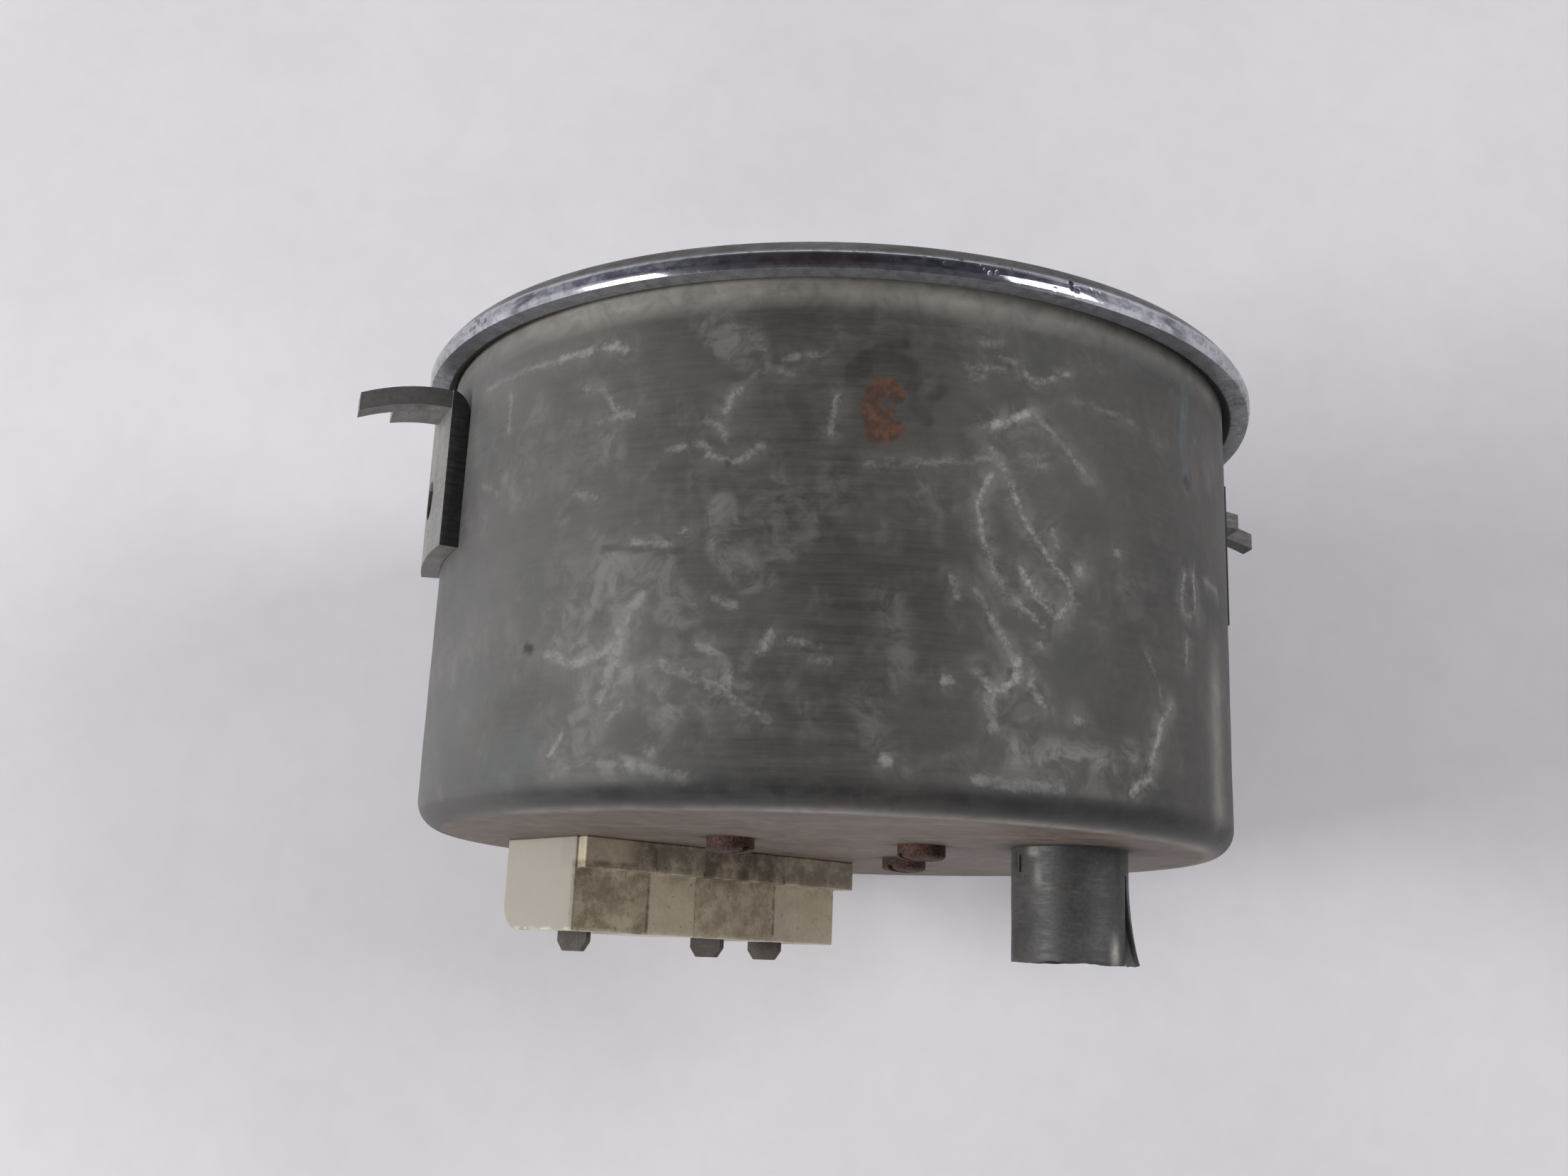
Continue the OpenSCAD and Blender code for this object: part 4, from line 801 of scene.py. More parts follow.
def grey_steel(name, base, patch, metallic, rough, dirt, cut=None, drawn=0.3, marked=False):
    """Zinc-plated sheet: dull mottled grey with brown dirt in patches and fine drawn lines of the given strength. Where
    a cut colour is given, the faces marked for painted shade have it. A marked piece has pale and dark patches painted
    on its points, among them a painted highlight and painted shade."""
    made, tree, shader = blank_finish(name, Metallic=metallic, Roughness=rough)
    coat = use(tree, MOTTLING, base=base, patch=patch, size=6.0, speckle=0.25)
    spots = between(cloudy(tree, 1.8, 5.0, 0.7), 0.56, 0.72, 0.0, dirt)
    lines = cloudy(tree, 3.0, 4.0, 0.7, (1, 6, 1))
    colour = laid(spots, coat["Colour"], tone(84, 66, 52))
    colour = laid(between(lines, 0.55, 0.75, 0.0, drawn), colour, tone(176, 174, 170))
    if cut:
        # Painted shade on the faces marked for it
        colour = laid(painted(tree, "cut")[0] * between(lines, 0.3, 0.7, 0.8, 1.0), colour, cut)
    if marked:
        # Pale patches with a painted highlight, and dark ones with painted shade
        pale, dark = painted(tree, "smears_and_shading")[:2]
        pale = pale * between(cloudy(tree, 0.8, 4.0, 0.7), 0.3, 0.6, 0.6, 1.0)
        colour = laid(dark, laid(pale, colour, tone(186, 182, 172)), tone(30, 29, 35))
    coloured(shader, colour, between(lines, 0.3, 0.7, rough - 0.08, rough + 0.1), cloudy(tree, 0.5, 3.0), 0.03, 0.5)
    return made


def banded(tree, scale, distortion, direction):
    """Straight bands from 0 to 1, about 0.31 / scale metres apart."""
    inputs = {"Vector": place(tree), "Scale": scale, "Distortion": distortion}
    return flow(tree, "ShaderNodeTexWave", inputs, 1, bands_direction=direction)


def wound_copper():
    """Enamelled wire: fine bands across each winding, with light and dark turns."""
    made, tree, shader = blank_finish("enamelled copper", Metallic=0.7, Roughness=0.35)
    turns = banded(tree, 900.0, 0.4, "Y")
    coat = use(tree, MOTTLING, base=tone(150, 84, 50), patch=tone(124, 62, 34), size=3.0, speckle=0.2)
    coloured(shader, laid(turns * 0.5, coat["Colour"], tone(74, 34, 18)), None, turns, 0.08, 0.8)
    return made


def board_laminate():
    """Tan phenolic laminate with a faint weave, and tinned tracks in broad bands."""
    made, tree, shader = blank_finish("board laminate", Roughness=0.45)
    coat = use(tree, MOTTLING, base=tone(152, 118, 66), patch=tone(128, 96, 52), size=12.0, speckle=0.15)
    colour = laid(banded(tree, 260.0, 2.0, "DIAGONAL") * 0.2, coat["Colour"], tone(100, 74, 40))
    inputs = {"Vector": place(tree, (1, 0.01, 1)), "Scale": 110.0}
    tracks = flow(tree, "ShaderNodeTexVoronoi", inputs, "Distance", feature="DISTANCE_TO_EDGE")
    colour = laid(between(tracks, 0.10, 0.14, 0.0, 0.7), colour, tone(112, 116, 62))
    coloured(shader, colour, None, tracks, 0.04, 0.5)
    return made


def clear_glass():
    """Instrument glass with a little dust, kept clear by full transmission."""
    made, tree, shader = blank_finish(
        "instrument glass", Transmission_Weight=1.0, IOR=1.5, Roughness=0.02, Metallic=0.0
    )
    dust = cloudy(tree, 5.0, 5.0, 0.7)
    colour = laid(between(dust, 0.4, 0.8, 0.0, 0.12), (0.97, 0.985, 0.98, 1), (0.86, 0.86, 0.84, 1))
    coloured(shader, colour, between(dust, 0.45, 0.8, 0.0, 0.06))
    return made


CAN_PAINT = worn_can_paint()
CHROME = pitted_chrome()
IVORY = dirty_ivory()
GLASS = clear_glass()
SCREW_RUST = rusty_steel("rusty screw steel", 0.62, tone(45, 34, 29), tone(30, 21, 18), tone(88, 58, 44))
RIVET_RUST = rusty_steel("rusty rivet steel", 0.5, tone(80, 70, 64), tone(56, 42, 36), tone(98, 70, 56))
TUBE_STEEL = grey_steel(
    "grey tube steel", tone(72, 71, 70), tone(55, 54, 53), 0.12, 0.55, 0.25, drawn=0.08, marked=True
)
# Its cut colour is painted shade on the faces marked for it
BRACKET_STEEL = grey_steel(
    "grey bracket steel", tone(128, 126, 122), tone(112, 110, 106), 0.1, 0.5, 0.3, cut=tone(40, 39, 40)
)
BLADE_METAL = grey_steel("tarnished blade metal", tone(80, 73, 66), tone(60, 54, 50), 0.35, 0.45, 0.5, drawn=0.2)
COPPER = wound_copper()
LAMINATE = board_laminate()

VISOR_BLACK = plain_finish("matt black visor paint", (30, 30, 31), (40, 40, 41), 4.0, 0.62)
DIAL_BLACK = plain_finish("matt black dial paint", (24, 24, 26), (30, 30, 32), 6.0, 0.7, 0.25, 0.05, 0.015)
DIAL_WHITE = plain_finish("white dial ink", (226, 224, 214), (208, 205, 192), 2.0, 0.6)
DIAL_RED = plain_finish("red dial ink", (186, 40, 30), (160, 32, 26), 2.0, 0.6)
POINTER_PAINT = plain_finish("orange pointer paint", (222, 96, 44), (204, 80, 36), 3.0, 0.5)
HUB_BLACK = plain_finish("satin black cap", (24, 24, 25), (32, 32, 33), 3.0, 0.35)
BRASS = plain_finish("turned brass", (188, 158, 92), (164, 132, 72), 2.5, 0.34, 0.2, 0.1, Metallic=0.9)
SMALL_SCREW = plain_finish(
    "small screw steel", (132, 128, 122), (100, 96, 90), 1.5, 0.4, 0.2, 0.1, 0.03, Metallic=0.8
)
RUBBER = plain_finish("black rubber", (28, 28, 28), (38, 38, 38), 3.0, 0.8)
BRIGHT_STEEL = plain_finish(
    "ground steel", (190, 190, 192), (166, 166, 168), 2.0, 0.28, 0.1, 0.08, 0.01, Metallic=1.0
)
FERRITE = plain_finish("dark ferrite", (60, 60, 62), (46, 46, 48), 1.5, 0.7)
BRONZE = plain_finish("spring bronze", (170, 132, 82), (150, 112, 66), 1.5, 0.35, 0.15, 0.08, 0.01, Metallic=0.9)
ALUMINIUM = plain_finish("brushed aluminium", (184, 184, 180), (166, 166, 162), 3.0, 0.42, 0.15, Metallic=0.85)
BOBBIN_PLASTIC = plain_finish("ivory moulded plastic", (206, 200, 180), (190, 184, 162), 5.0, 0.48)
TINNED = plain_finish("tinned metal", (178, 178, 176), (150, 150, 148), 1.5, 0.38, 0.15, 0.1, Metallic=0.9)
SLEEVE = plain_finish("capacitor sleeve", (38, 48, 86), (32, 40, 72), 4.0, 0.35)
FILM_RED = plain_finish("dipped red film", (170, 70, 40), (150, 56, 32), 4.0, 0.35)
RESISTOR_TAN = plain_finish("resistor coating", (190, 160, 118), (172, 142, 100), 2.0, 0.5)
CHIP_BLACK = plain_finish("moulded black plastic", (30, 30, 32), (38, 38, 40), 2.0, 0.55)
TRIMMER_BLUE = plain_finish("trimmer blue plastic", (40, 70, 130), (32, 58, 110), 3.0, 0.4)
TRIMMER_WHITE = plain_finish("trimmer rotor plastic", (216, 214, 204), (200, 198, 186), 2.0, 0.45)


# The can

def can_angles():
    """Angles round the can: 0.36 degrees apart over its marked side, and up to 2 degrees apart below, where little
    shows."""
    parts = ((-10, 20, 40), (20, 160, 389), (160, 350, 110))
    return np.concatenate([np.linspace(start, end, count, endpoint=False) for start, end, count in parts])


def can_skin():
    """One closed skin: a profile turned about the axis from the flange to the rounded back edge, then across the back,
    where each ring is the rim's circle moved and shrunk by a share towards the lamp tube's hole, and back along the
    inside to the flange. The side stands in or out by up to 0.05 mm, by a sum of sine waves, as drawn steel does, and
    the back sinks by up to 0.06 mm in the same way."""
    a = can_angles()
    turn = np.radians(a)
    flat_r = CAN_R - BACK_ROUND

    def rounded(radius, angles):
        """The back edge's round, as points of a circle whose middle lies in from the side and the back."""
        t = np.radians(angles)
        return np.stack([flat_r + radius * np.cos(t), BACK_Y - BACK_ROUND + radius * np.sin(t)], 1)

    lip = [(CAN_IN_R, FLANGE_Y), (FLANGE_R, FLANGE_Y), (FLANGE_R, FLANGE_Y + 1), (CAN_R, FLANGE_Y + 1), (CAN_R, 10)]
    outer = np.concatenate([
        fitted(lip, 0.12, 3)[3:12],
        stepped([(CAN_R, FLANGE_Y + 1.2), (CAN_R, BACK_Y - BACK_ROUND)], 0.42)[:-1],
        rounded(BACK_ROUND, np.linspace(0, 90, 10)),
    ])
    wall = [(CAN_IN_R, 20.0), (CAN_IN_R, FLANGE_Y)]
    side, lining = swung(outer, a), swung(np.concatenate([rounded(BACK_IN_ROUND, np.linspace(90, 0, 5)), wall]), a)
    uneven = 0.05 * ripple(turn[None, :] * CAN_R * 0.5, side[..., 1] * 0.5, 3)
    uneven *= rise(side[..., 1], 2, 6) * rise(side[..., 1], BACK_Y - 2, -6)
    outward = np.stack([np.cos(turn), 0 * a, np.sin(turn)], 1)[None]
    side = side + np.minimum(uneven, 0.04)[..., None] * outward

    rim = flat_r * np.stack([np.cos(turn), np.sin(turn)], 1)
    tube = np.array(TUBE_AT)
    hole = tube + (TUBE_R + 0.05) * (rim - tube) / np.linalg.norm(rim - tube, axis=1)[:, None]

    def rings(shares, y):
        """Rings across the back, from the rim at share 0 to the tube's hole at share 1."""
        flat = rim[None] + shares[:, None, None] * (hole - rim)[None]
        return np.stack([flat[..., 0], np.full(flat.shape[:2], y), flat[..., 1]], -1)

    shares = np.linspace(0, 1, 31)[1:]
    back = rings(shares, BACK_Y)
    dish = 0.06 * np.abs(ripple(back[..., 0], back[..., 2], 9))
    back[..., 1] -= dish * (rise(shares, 0, 1 / 6) * (1 - shares))[:, None]
    back_inside = rings(np.linspace(1, 0, 5)[:-1], BACK_Y - 1)
    points = np.concatenate([side, back, back_inside, lining])
    return points, woven(len(points), len(a), True, True)


def can_wear(points):
    """Colours for each point: marks holds the scuffs; the wear and shading layer holds the pale side, which is painted
    light on the side towards the key lamp, the rust, and the smudges with painted shade round the tube's root; film
    holds dust, made stronger where the lamps' light falls as painted light, and blue and tan stains."""
    x, y, z = points.reshape(-1, 3).T
    angle, r = round_axis(x, z)
    angle = np.where(angle > 270, angle - 360, angle)
    u = angle * CAN_MM_PER_DEGREE
    on_side = (r > CAN_R - 0.4) & (y > -1)
    on_back = y > BACK_Y - 0.5
    from_screw = np.min([np.hypot(x - sx, z - sz) for sx, sz in SCREWS_AT], axis=0)

    # Scuffs, and a mist of fine scratches that is thickest to the left
    inside, strength, haze = scratched(u, y, SCUFFS)
    mist = 0.6 * rise(ripple(u * 0.9, y * 0.9, 21), 0.15, 1) + 0.5 * rise(ripple(u * 2.1, y * 2.6, 22), 0.35, 1)
    mist = mist * (0.55 + 0.6 * bell((angle, 66, 14), (y, 38, 14)))
    mist = np.maximum(mist, 0.8 * brushed(u, y, HAZES)) * (1 - 0.3 * rise(angle, 100, 8))
    marks = channels(np.where(on_side, inside, 0), strength, np.where(on_side, np.maximum(haze, mist), 0))

    # Rust on the side, in runs on the back and in a ring round each screw
    runs = np.maximum(brushed(x, z, BACK_RUNS, 1.0), 0.75 * rise(np.abs(from_screw - 3.2), 1.92, -1.2))
    rust = np.maximum(np.where(on_side, brushed(u, y, RUST_SPOTS), 0), np.where(on_back, 0.5 * runs, 0))

    # Smudges on the side, in a band before the back edge and round each screw, and painted shade round the tube's root,
    # most on its upper side, standing in for shade round the hole that is not built
    band = bell((y, BACK_Y - 1.9 + 0.3 * ripple(u, 0 * u, 5), 1.1)) * rise(u, 34, 20) * (0.9 + 0.2 * ripple(u, y, 6))
    seat = np.abs(np.hypot(x - TUBE_AT[0], z - TUBE_AT[1]) - TUBE_R)
    # Painted shade: dark within 0.9 mm of the tube's edge, and a wider crescent on its upper side
    root = 0.8 * rise(seat, 0.9, -0.9) + 0.95 * rise(z, TUBE_AT[1], TUBE_R) * rise(seat, 3.9, -2.6)
    smudge_and_shade = np.where(on_side, brushed(u, y, SMUDGES), 0)
    smudge_and_shade = np.maximum(smudge_and_shade, np.where(r > CAN_R - 1.6, np.clip(band, 0, 0.95), 0))
    smudge_and_shade = np.maximum(smudge_and_shade, np.where(on_back, np.maximum(0.8 * rise(from_screw, 3.9, -1), root), 0))
    # Painted light: the side towards the key lamp, below 70 degrees, is made paler, and the back half as much
    pale = 0.38 * rise(angle, 70, -34) * np.clip(0.85 + 0.25 * ripple(u * 0.6, y * 0.6, 23), 0, 1)
    wear_and_shading = channels(np.where(on_side, pale, 0.5 * pale), rust, np.minimum(smudge_and_shade, 1))

    # Dust under the bezel, which painted light makes stronger where the lamps' light falls on the can, dust at the
    # right edge, and a line on the back's round where the skin is rubbed pale
    lamp_lit_share = bell((angle, 64, 16)) + 0.75 * bell((angle, 108, 14)) + 0.45
    dust = rise(y, 3.4, -2.2) * np.clip(lamp_lit_share, 0, 1) * (0.8 + 0.2 * ripple(u, y, 8))
    edge = 0.5 * bell((angle, 149, 3.0)) * rise(y, 28, 8)
    polish = bell((r, CAN_R - 2.7, 0.8)) * (y > BACK_Y - 1.6) * rise(u, 20, 20) * (0.85 + 0.2 * ripple(u, 0 * u, 7))
    polish = polish * (1 + 0.3 * rise(angle, 70, 20))
    dust = np.maximum(np.where(on_side, np.clip(np.maximum(dust, edge), 0, 1), 0), 0.8 * polish)
    blue = np.where(on_side, brushed(u, y, BLUE_STAINS), 0)
    tan = 0.5 + 0.3 * np.clip(ripple(x * 0.8 + z * 0.2, z * 1.4, 44), 0, 1)
    film = channels(dust, 0.7 * blue, np.where(on_back & (r < CAN_R - 3), tan, 0))
    return {"marks": marks, "wear_and_shading": wear_and_shading, "film": film}


piece("can_skin", *can_skin(), CAN_PAINT, stands_for=("can",), slot="can_paint", wear_and_shading=can_wear, crease=50)


# The bezel

def bezel_profile():
    """The bezel's closed profile: a front rim round the window, a nose that slopes back and out from it to the fine
    ridge, a straight barrel whose last part curves inwards, and a flat rear face whose inner edge falls away towards
    the can."""
    curve = np.linspace(-0.95, -0.06, 6)
    corners = [
        (WINDOW_R, GLASS_Y), (WINDOW_R, BEZEL_Y + 0.25), (WINDOW_R + 0.4, BEZEL_Y), (48.3, BEZEL_Y), (52.35, -3.25),
        (BEZEL_R - 0.45, RIDGE_Y - 0.75), (BEZEL_R - 0.12, RIDGE_Y - 0.2), (BEZEL_R, RIDGE_Y),
        (BEZEL_R - 0.01, RIDGE_Y + 0.3), *zip(BEZEL_R - 0.01 - 0.24 * (curve + 0.95) ** 2, curve),
        (BEZEL_R - 0.23, 0.0), (51.0, 0.0), (BEZEL_LIP_R, -0.45), (BEZEL_LIP_R, -0.7), (51.8, -0.7), (51.8, -2.95),
        (48.9, -4.45),
    ]
    front, rear = (0.05, 0.15, 0.2, 0.5, 0.4, 0.2, 0.08, 0.05, 0.04), (0.04, 0.14, 0.08, 0.08, 0.08, 0.1, 0.1)
    return fitted(corners, front + len(curve) * (0.07,) + rear, 5)


def bezel_skin():
    """The bezel's profile turned about the axis, with the rim shrunk by up to 0.08 mm, as a sum of sine waves round
    it."""
    step = 0.75
    points, faces = turned(bezel_profile(), step, True)
    along = np.radians(np.arange(0, 360, step)) * CAN_R
    sink = 0.03 * (1 + ripple(along, 0 * along, 12))
    outer = np.hypot(points[..., 0], points[..., 2]) > NOSE_R
    points[..., ::2] *= (1 - np.where(outer, sink[None, :], 0) / BEZEL_R)[..., None]
    return points, faces


def bezel_wear(points):
    """The wear and shading layer holds how far the chrome is pitted in red, the dust in green, most at the two sides,
    and painted shade in the gap by the can in blue. film holds a painted dark reflection on the barrel in red, the
    beige dirt on the nose in green, and the brown tint of the top in blue."""
    x, y, z = points.reshape(-1, 3).T
    angle, r = round_axis(x, z)
    u = angle * CAN_MM_PER_DEGREE
    nose = rise(y, RIDGE_Y - 0.05, -0.25)
    spotted = bell((angle, 106, 18)) + 0.6 * bell((angle, 42, 14))
    pits = np.clip(0.12 + 0.75 * spotted * (y < -0.6) + 0.25 * ripple(u, y, 31), 0, 1)

    sides = np.max([bell((angle, 20, 18)), bell((angle, 158, 20)), 0.5 * (z < 0)], axis=0)
    dust = (0.75 + 0.25 * bell((angle, 160, 18))) * sides * (0.6 + 0.5 * ripple(u, 3 * y, 32)) * (1 - 0.5 * nose)
    rear_face = (y > -0.02) & (r > 50.9)
    dust = np.maximum(np.clip(dust, 0, 1), np.where(rear_face, 0.6 + 0.15 * ripple(u, r * 3, 35), 0))
    # Painted shade in the gap between the rear lip and the can, darkest inside 51.2 mm and weakest near 72 degrees
    dirt = rise(r, 51.2, -0.3) * np.clip(1.1 - bell((angle, 72, 20)), 0.15, 1)
    dirt = np.where((y > -0.75) & (r < 51.3), dirt, 0)

    # Painted dark reflection: a violet darkening across the barrel's top, standing in for the chrome's reflection of
    # dark surroundings
    barrel = rise(y, RIDGE_Y + 0.1, 0.15) * rise(y, -0.5, -0.25)
    crown = bell((angle, 60, 14)) + bell((angle, 114, 16)) + 0.75 * bell((angle, 86, 16))
    painted_dark_reflection = np.clip(barrel * crown * (0.85 + 0.25 * ripple(u, 2 * y, 36)), 0, 1)
    beige = np.clip(nose * (1.0 + 0.1 * ripple(u, y, 37)), 0, 1) * (1 - 0.5 * sides) * np.clip((y + 4.9) / 0.6, 0.3, 1)
    brown = bell((angle, 84, 9)) * (y > -1.5) * (y < -0.3)
    return {"wear_and_shading": channels(pits, dust, dirt), "film": channels(painted_dark_reflection, beige, brown)}


piece("bezel_hoop", *bezel_skin(), CHROME, stands_for=("bezel",), slot="chrome", wear_and_shading=bezel_wear, crease=28)


# Glass and visor ring

def glass_skin():
    """The glass: a flat disc with eased edges, small enough to lie inside the nose's slope, as one profile turned about
    the axis."""
    shoulder = GLASS_R - 1.8
    flat = np.linspace(0, shoulder - 0.5, 12)
    corners = [(shoulder, GLASS_Y), (GLASS_R, GLASS_Y), (GLASS_R, GLASS_BACK_Y), (shoulder, GLASS_BACK_Y)]
    front = np.stack([flat, np.full(12, GLASS_Y)], 1)
    back = np.stack([flat[::-1], np.full(12, GLASS_BACK_Y)], 1)
    return turned(np.concatenate([front, fitted(corners, 0.2, 5)[5:15], back]), 1.5, False)


def visor_skin():
    """The visor ring: a lip under the glass and a sleeve back to the dial, as one profile turned about the axis."""
    lip_r, sleeve_r, lip_y = FLANGE_R - 0.05, VISOR_R + 0.6, FLANGE_Y - 0.5
    corners = [(VISOR_R, lip_y), (lip_r, lip_y), (lip_r, FLANGE_Y), (sleeve_r, FLANGE_Y), (sleeve_r, DIAL_Y)]
    profile = fitted(corners + [(VISOR_R, DIAL_Y)], 0.12, 4)
    return turned(stepped(np.concatenate([profile, profile[:1]]), 1.2)[:-1], 1.0, True)


piece("glass_disc", *glass_skin(), GLASS, stands_for=("glass",), slot="glass", crease=40, weld=True)
piece("visor_sleeve", *visor_skin(), VISOR_BLACK, stands_for=("visor_ring",), slot="black_plastic")


# The dial's marks, each a film of ink that stands a little out of the dial and sinks a little into it

INK_FRONT = DIAL_Y - 0.04
INK_BACK = DIAL_Y + 0.02
MARKS_OUT_R = 44.0
NUMBERS_R = 32.6
BRICK = np.array([[0, 1, 3, 2], [4, 6, 7, 5], [0, 4, 5, 1], [2, 3, 7, 6], [0, 2, 6, 4], [1, 5, 7, 3]])


def clock(angle, reach, y):
    """A point at a clock angle, measured clockwise from 12 o'clock as seen from the front, where +X is on the right."""
    a = np.radians(angle)
    return np.stack(np.broadcast_arrays(reach * np.sin(a), y, reach * np.cos(a)), -1)


def dial_strokes(angles, inner, half_width):
    """Strokes of ink: for each clock angle, the eight corners of a thin bar from reach inner to the marks' outside."""
    a = np.radians(np.asarray(angles, float))[:, None, None, None]
    reach = np.array([inner, MARKS_OUT_R])[None, :, None, None]
    side = np.array([-half_width, half_width])[None, None, :, None]
    x, z = reach * np.sin(a) + side * np.cos(a), reach * np.cos(a) - side * np.sin(a)
    points = np.stack(np.broadcast_arrays(x, np.array([INK_FRONT, INK_BACK]), z), -1).reshape(-1, 3)
    return points, (BRICK[None] + 8 * np.arange(len(angles))[:, None, None]).reshape(-1, 4)


def dial_arc(first, last, inner, outer, steps):
    """A band of ink: a thin rectangular profile carried along an arc and closed at both ends."""
    a = np.linspace(first, last, steps)
    corners = [(inner, INK_FRONT), (outer, INK_FRONT), (outer, INK_BACK), (inner, INK_BACK)]
    points = np.stack([clock(a, r, y) for r, y in corners], 1).reshape(-1, 3)
    ends = np.array([[0, 1, 2, 3], [4 * steps - 1, 4 * steps - 2, 4 * steps - 3, 4 * steps - 4]])
    return points, np.concatenate([woven(steps, 4, False, True), ends])


def dial_number(number, angle):
    """A plain upright number on the dial, from flat letters given a thickness of 0.06 mm."""
    text = bpy.data.curves.new(f"number_{number}", "FONT")
    text.body = str(number)
    text.align_x, text.align_y = "CENTER", "CENTER"
    text.size = 8.6
    text.extrude = 0.03
    text.resolution_u = 4
    made = bpy.data.objects.new(f"number_{number}", text)
    bpy.context.scene.collection.objects.link(made)
    bpy.context.view_layer.update()
    mesh = bpy.data.meshes.new_from_object(made.evaluated_get(bpy.context.evaluated_depsgraph_get()))
    bpy.data.objects.remove(made)
    flat = np.zeros(3 * len(mesh.vertices))
    mesh.vertices.foreach_get("co", flat)
    flat = flat.reshape(-1, 3)
    x, y, z = clock(angle, NUMBERS_R, DIAL_Y)
    placed = np.stack([flat[:, 0] + x, -flat[:, 2] + y - 0.01, flat[:, 1] + z], 1) * MM
    mesh.vertices.foreach_set("co", placed.ravel())
    mesh.update()
    dressed(f"dial_number_{number}", mesh, DIAL_WHITE, "case", (), "ivory_plastic", 30)


units = REST_ANGLE + SWEEP * np.arange(9) / 8
fifths = REST_ANGLE + SWEEP * np.arange(41) / 40
strokes = [dial_strokes(units, 37.6, 0.75), dial_strokes(fifths[np.arange(41) % 5 != 0], 40.6, 0.35)]
arc = dial_arc(REST_ANGLE, units[6], MARKS_OUT_R, MARKS_OUT_R + 0.7, 120)
red_band = dial_arc(units[6] + 1.2, units[8] + 1.0, MARKS_OUT_R + 0.1, MARKS_OUT_R + 1.6, 50)
piece("dial_marks", *joined(strokes + [arc]), DIAL_WHITE, slot="ivory_plastic")
piece("dial_red_band", *red_band, DIAL_RED, slot="film_red")
for number, angle in enumerate(units):
    dial_number(number, float(angle))


# The pointer and its cap

def pointer_skin():
    """The pointer: across each station of its length the front is crowned by a cosine, and its width tapers from root
    to tip, where it is rounded by a quarter of an ellipse."""
    tail, taper, tip = 12, 37.1, 38
    root_half, tip_half, crown = 1.4, 0.45, 0.18
    along = np.concatenate([np.linspace(-tail, 0, 12), np.linspace(1, taper, 60), np.linspace(taper + 0.1, tip, 6)])
    half = root_half + np.where(along < 0, 0.3 * (-along / tail), (tip_half - root_half) * along / taper)
    rounded = tip_half * np.sqrt(np.clip(1 - ((along - taper) / 0.905) ** 2, 0.02, 1))
    half = np.where(along > taper, rounded, half)[:, None]
    across = np.linspace(-1, 1, 9)[None]
    front_y = POINTER_Y + crown - crown * np.cos(across * math.pi / 2)
    front = np.stack(np.broadcast_arrays(across * half, front_y, along[:, None]), -1)
    back = np.stack(np.broadcast_arrays(-across * half, POINTER_Y + 0.5, along[:, None]), -1)
    points = spun(np.concatenate([front, back], 1), REST_ANGLE)
    rows, columns = points.shape[:2]
    strip = np.arange(8)
    end = np.stack([strip, strip + 1, columns - 2 - strip, columns - 1 - strip], 1)
    faces = [woven(rows, columns, False, True), end, end[:, ::-1] + (rows - 1) * columns]
    return points, np.concatenate(faces)


def cap_skin():
    """The hub cap: a dome that falls as the square of the radius, with a rolled edge, turned about the axis."""
    dome_r, dome_y, bore_r, back_y = 4.4, 0.1, 1.02, 2.3
    r = np.linspace(0.0, dome_r, 14)
    dome = np.stack([r, dome_y + 0.12 * (r / dome_r) ** 2], 1)
    corners = [(dome_r, dome_y + 0.12), (5.5, 0.9), (5.5, back_y), (bore_r, back_y)]
    edge = fitted(corners, (0.05, 0.3, 0.1, 0.05), 5)[5:15]
    return turned(np.concatenate([dome, edge, [(bore_r, back_y), (bore_r, 1.5), (0.0, 1.5)]]), 3.0, False)


piece("pointer_blade", *pointer_skin(), POINTER_PAINT, "pointer_shaft", ("pointer",), "pointer_paint", crease=40)
piece("pointer_cap", *cap_skin(), HUB_BLACK, "pointer_shaft", ("pointer_hub",), "black_plastic", weld=True)


# Screws in the back

def slotted_head(at):
    """A screw head: a point of its top is (u sqrt(1 - v^2), v) on the disc, its height a shallow dome that is cut down
    by the slot where |v| is under half the slot's width, and its skirt falls from the disc's edge to the back. Each
    head is turned by an angle of its own."""
    half, wall = HEAD_SLOT / 2 / HEAD_R, 1e-4
    below, floor = np.linspace(-0.999, -half, 12), np.linspace(-half + 0.02, half - 0.02, 3)
    lines = np.concatenate([below, [wall - half], floor, [half - wall], -below[::-1]])
    u, v = np.meshgrid(np.linspace(-1, 1, 19), lines)
    x, z = u * np.sqrt(1 - v**2) * HEAD_R, v * HEAD_R
    far = np.hypot(x, z) / HEAD_R
    dome = HEAD_HEIGHT - 0.32 * far**3 - 0.18 * rise(far, 0.86, 0.14) ** 2
    y = BACK_Y + np.where(np.abs(v) < half - wall / 2, HEAD_HEIGHT - HEAD_SLOT, dome)
    top = np.stack([x, y - 0.05 * (1 + ripple(4 * x + at[0], 4 * z, 41)), z], -1)
    rows, columns = top.shape[:2]
    rim = np.concatenate([
        np.arange(columns), np.arange(1, rows) * columns + columns - 1,
        (rows - 1) * columns + np.arange(columns - 1)[::-1], np.arange(1, rows - 1)[::-1] * columns,
    ])
    flat = top.reshape(-1, 3)
    foot = flat[rim].copy()
    foot[:, 1] = BACK_Y - 0.05
    i, base = np.arange(len(rim)), len(flat)
    on = (i + 1) % len(rim)
    skirt = np.stack([rim, rim[on], base + on, base + i], 1)
    middle = np.full(len(rim), base + len(rim))
    bottom = np.stack([base + i, base + on, middle, middle], 1)
    points = np.concatenate([flat, foot, [[0, BACK_Y - 0.05, 0]]])
    return spun(points, 35 * at[0] + at[1], at), np.concatenate([woven(rows, columns), skirt, bottom])


